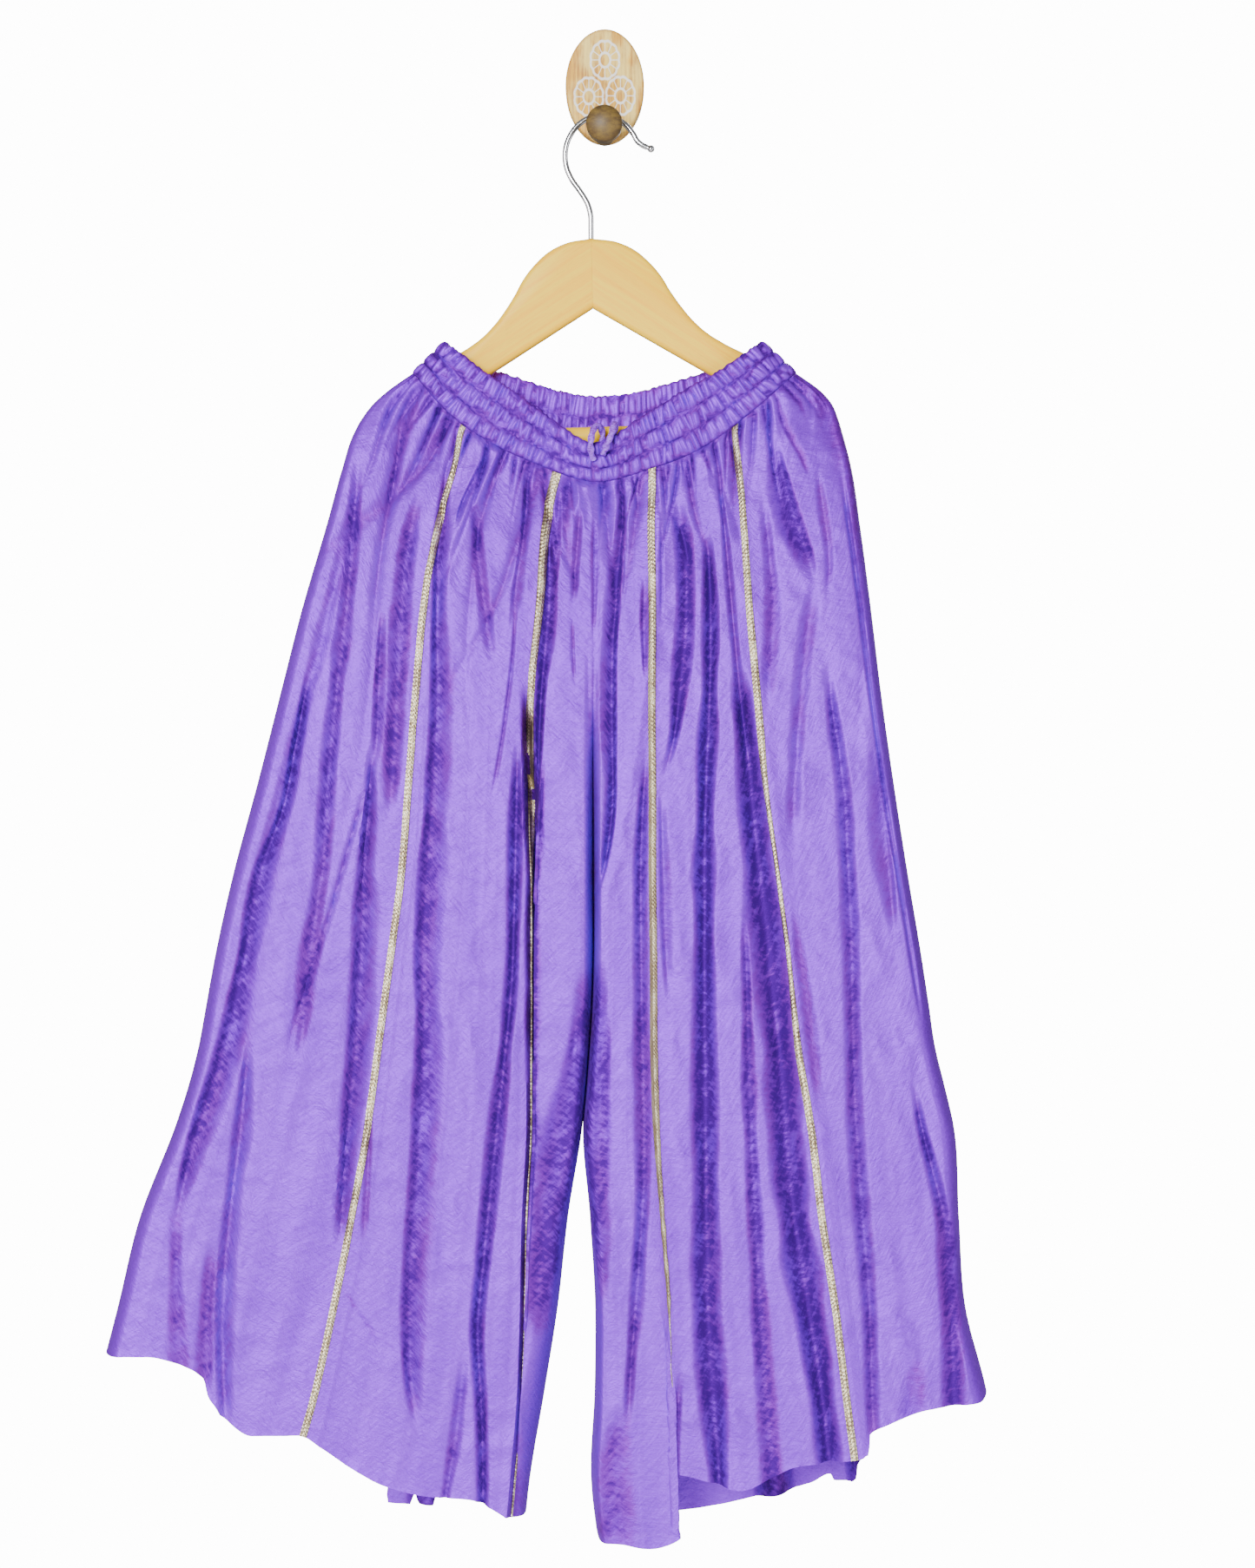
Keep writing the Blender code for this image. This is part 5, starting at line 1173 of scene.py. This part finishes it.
edging, paint, shader = finish("metal_edging")
along_tape = paint.node("ShaderNodeUVMap", {"uv_map": "cloth"}, {})
aside, down, _ = apart_xyz(along_tape)
loops = abs(paint.maths("SINE", down * (math.pi / LOOP_PITCH) + abs(aside) * LOOP_SLANT))
cords = 1 - step(abs(abs(aside) - CORD_ASIDE), 0.0003, 0.0008)
rib = loops * (1 - cords * 0.7)
# Painted highlights: silver-white glints, stronger in brighter stretches along the tape, which are also
# less metallic.
glints = noise(along_tape, (0.0011, 0.0011), detail=2)
glint_patches = noise(along_tape, (0.020, 0.022), detail=2)
painted_glint_share = step(glint_patches, 0.40, 0.62)
colour = mix(step(rib + painted_glint_share * 0.3, 0.25, 0.95), GOLD_SHADE, GOLD_SILVER)
colour = mix(step(glints, 0.50, 0.62) * (painted_glint_share * 0.7 + 0.3), colour, SILVER_GLINT)
colour = mix(step(abs(aside), 0.00195, 0.0024) * 0.8, colour, GOLD_SHADE)
normal = bump(rib + glints * 0.5, 0.0004, 0.7)
metal = 0.85 - painted_glint_share * 0.5
coat(paint, shader, Base_Color=colour, Metallic=metal, Roughness=0.55 - glints * 0.25, Normal=normal)

for place, name, *shows in TAPES:
    cloth, panel, points, normal = edged[place]
    share = np.linspace(0, 1, 7)
    strip = np.stack([
        points[:, 0] * (1 - 2 * s) + points[:, 1] * 2 * s if s <= 0.5
        else points[:, 1] * (2 - 2 * s) + points[:, 2] * (2 * s - 1)
        for s in share
    ], axis=1)
    middle = strip[:, 3:4]
    shown = np.interp(-middle[..., 2:], *zip(*shows))
    strip = middle + (strip - middle) * shown
    under = strip + normal[:, 1:2] * TAPE_LIFT
    raised = TAPE_THICK + TAPE_CROWN * np.sin(math.pi * share)
    over = under + normal[:, 1:2] * raised[None, :, None]
    tape = cloth_shell(
        "edging_" + name, over, under, np.zeros(strip.shape[:2]), edging, "edging", "tape_" + name,
        sharp=70,
    )


# The drawstring is a narrow tube of the satin, turned and knotted inside the waistband. Its two free
# ends come up inside the front, over the top edge and a little way down the outside.
TIE_RADIUS = 0.0020
TIE_TWIST = 0.42
TIE_OVAL = 0.16
TIE_STEPS = 60
TIE_LEFT = [
    (-0.0010, -0.0524, 0.2465), (-0.0010, -0.0524, 0.2400), (-0.0010, -0.0524, 0.2335),
    (-0.0011, -0.0527, 0.2285), (-0.0019, -0.0545, 0.2248), (-0.0039, -0.0584, 0.2230),
    (-0.0062, -0.0622, 0.2250), (-0.0079, -0.0638, 0.2300), (-0.0086, -0.0628, 0.2355),
    (-0.0081, -0.0607, 0.2405), (-0.0066, -0.0594, 0.2450),
]
TIE_RIGHT = [
    (0.0060, -0.0523, 0.2440), (0.0060, -0.0523, 0.2380), (0.0061, -0.0522, 0.2320),
    (0.0064, -0.0528, 0.2270), (0.0068, -0.0547, 0.2235), (0.0069, -0.0585, 0.2218),
    (0.0062, -0.0621, 0.2238), (0.0047, -0.0638, 0.2285), (0.0026, -0.0630, 0.2335),
    (0.0006, -0.0610, 0.2378), (-0.0010, -0.0595, 0.2415),
]

tie_satin, paint, shader = finish("tie_satin", Metallic=0.1, Specular_IOR_Level=0.4)
space = object_space(paint)
twist = noise(space, (0.0020, 0.0020, 0.0008), detail=3)
colour = mix(step(twist, 0.34, 0.58), SATIN_PLUM, SATIN_PALE)
normal = bump(twist, 0.0006, 0.8)
coat(paint, shader, Base_Color=colour, Roughness=twist * 0.2 + 0.36, Normal=normal)

for side, route in (("l", TIE_LEFT), ("r", TIE_RIGHT)):
    line = smooth_line([(x, y, -drop) for x, y, drop in route], TIE_STEPS)
    shape = bmesh.new()
    steps = np.linspace(0, 1, len(line))
    radii = TIE_RADIUS * (1 + 0.08 * np.sin(steps * 31)) * np.where(steps > 0.985, 0.75, 1)
    along_line(shape, line, radii, 18, TIE_TWIST, TIE_OVAL)
    tie = piece("tie_" + side, shape, tie_satin, "satin", "drawstring_" + side)


# A plain pale floor, and soft studio light: a large lamp in front and above, a weak one at each side
# and one low in front, one behind and above for the cloth's back, and a surround that the lens sees
# white, and that lights the cloth only a little.
FLOOR_DROP = 1.45
FLOOR_RADIUS = 1.4
SURROUND_SEEN = (14.0, 14.0, 14.0, 1)
SURROUND_LIGHT = (0.23, 0.23, 0.235, 1)
shape = bmesh.new()
bmesh.ops.create_circle(shape, cap_ends=True, segments=96, radius=FLOOR_RADIUS)
bmesh.ops.translate(shape, vec=(0, 0, -FLOOR_DROP), verts=shape.verts)
floor = added("floor", mesh_of("floor", shape))
floor_white, _, _ = finish("floor_white", Base_Color=(0.86, 0.86, 0.87, 1), Roughness=0.9)
floor.data.materials.append(floor_white)


def lamp(name, place, aim, wide, high, power, colour):
    """Flat soft lamp that faces a point."""
    data = bpy.data.lights.new(name, "AREA")
    data.shape = "RECTANGLE"
    data.size = wide
    data.size_y = high
    data.energy = power
    data.color = colour
    made = added(name, data)
    made.location = place
    made.rotation_euler = (Vector(aim) - Vector(place)).to_track_quat("-Z", "Y").to_euler()


lamp("key", (-0.9, -3.2, 0.2), (0, 0, -0.5), 1.0, 1.3, 170, (1.0, 1.0, 1.0))
lamp("left", (-2.4, -1.2, -0.2), (0, 0, -0.5), 0.8, 1.8, 16, (1.0, 0.90, 0.94))
lamp("right", (2.4, -1.2, -0.2), (0, 0, -0.5), 0.8, 1.8, 19, (0.96, 0.94, 1.0))
lamp("low", (0.3, -1.9, -1.35), (0, 0, -0.9), 1.2, 0.4, 12, (1.0, 1.0, 1.0))
lamp("behind", (0.4, 2.8, 0.8), (0, 0, -0.5), 1.6, 1.4, 70, (1.0, 1.0, 1.0))

world = bpy.data.worlds.new("studio")
scene.world = world
world.use_nodes = True
surround = Socket(world.node_tree)
seen = surround.node("ShaderNodeLightPath", {}, {}, "Is Camera Ray")
colour = mix(seen, SURROUND_LIGHT, SURROUND_SEEN)
back = world.node_tree.nodes["Background"]
surround.give(back.inputs["Color"], colour)
back.inputs["Strength"].default_value = 1.0
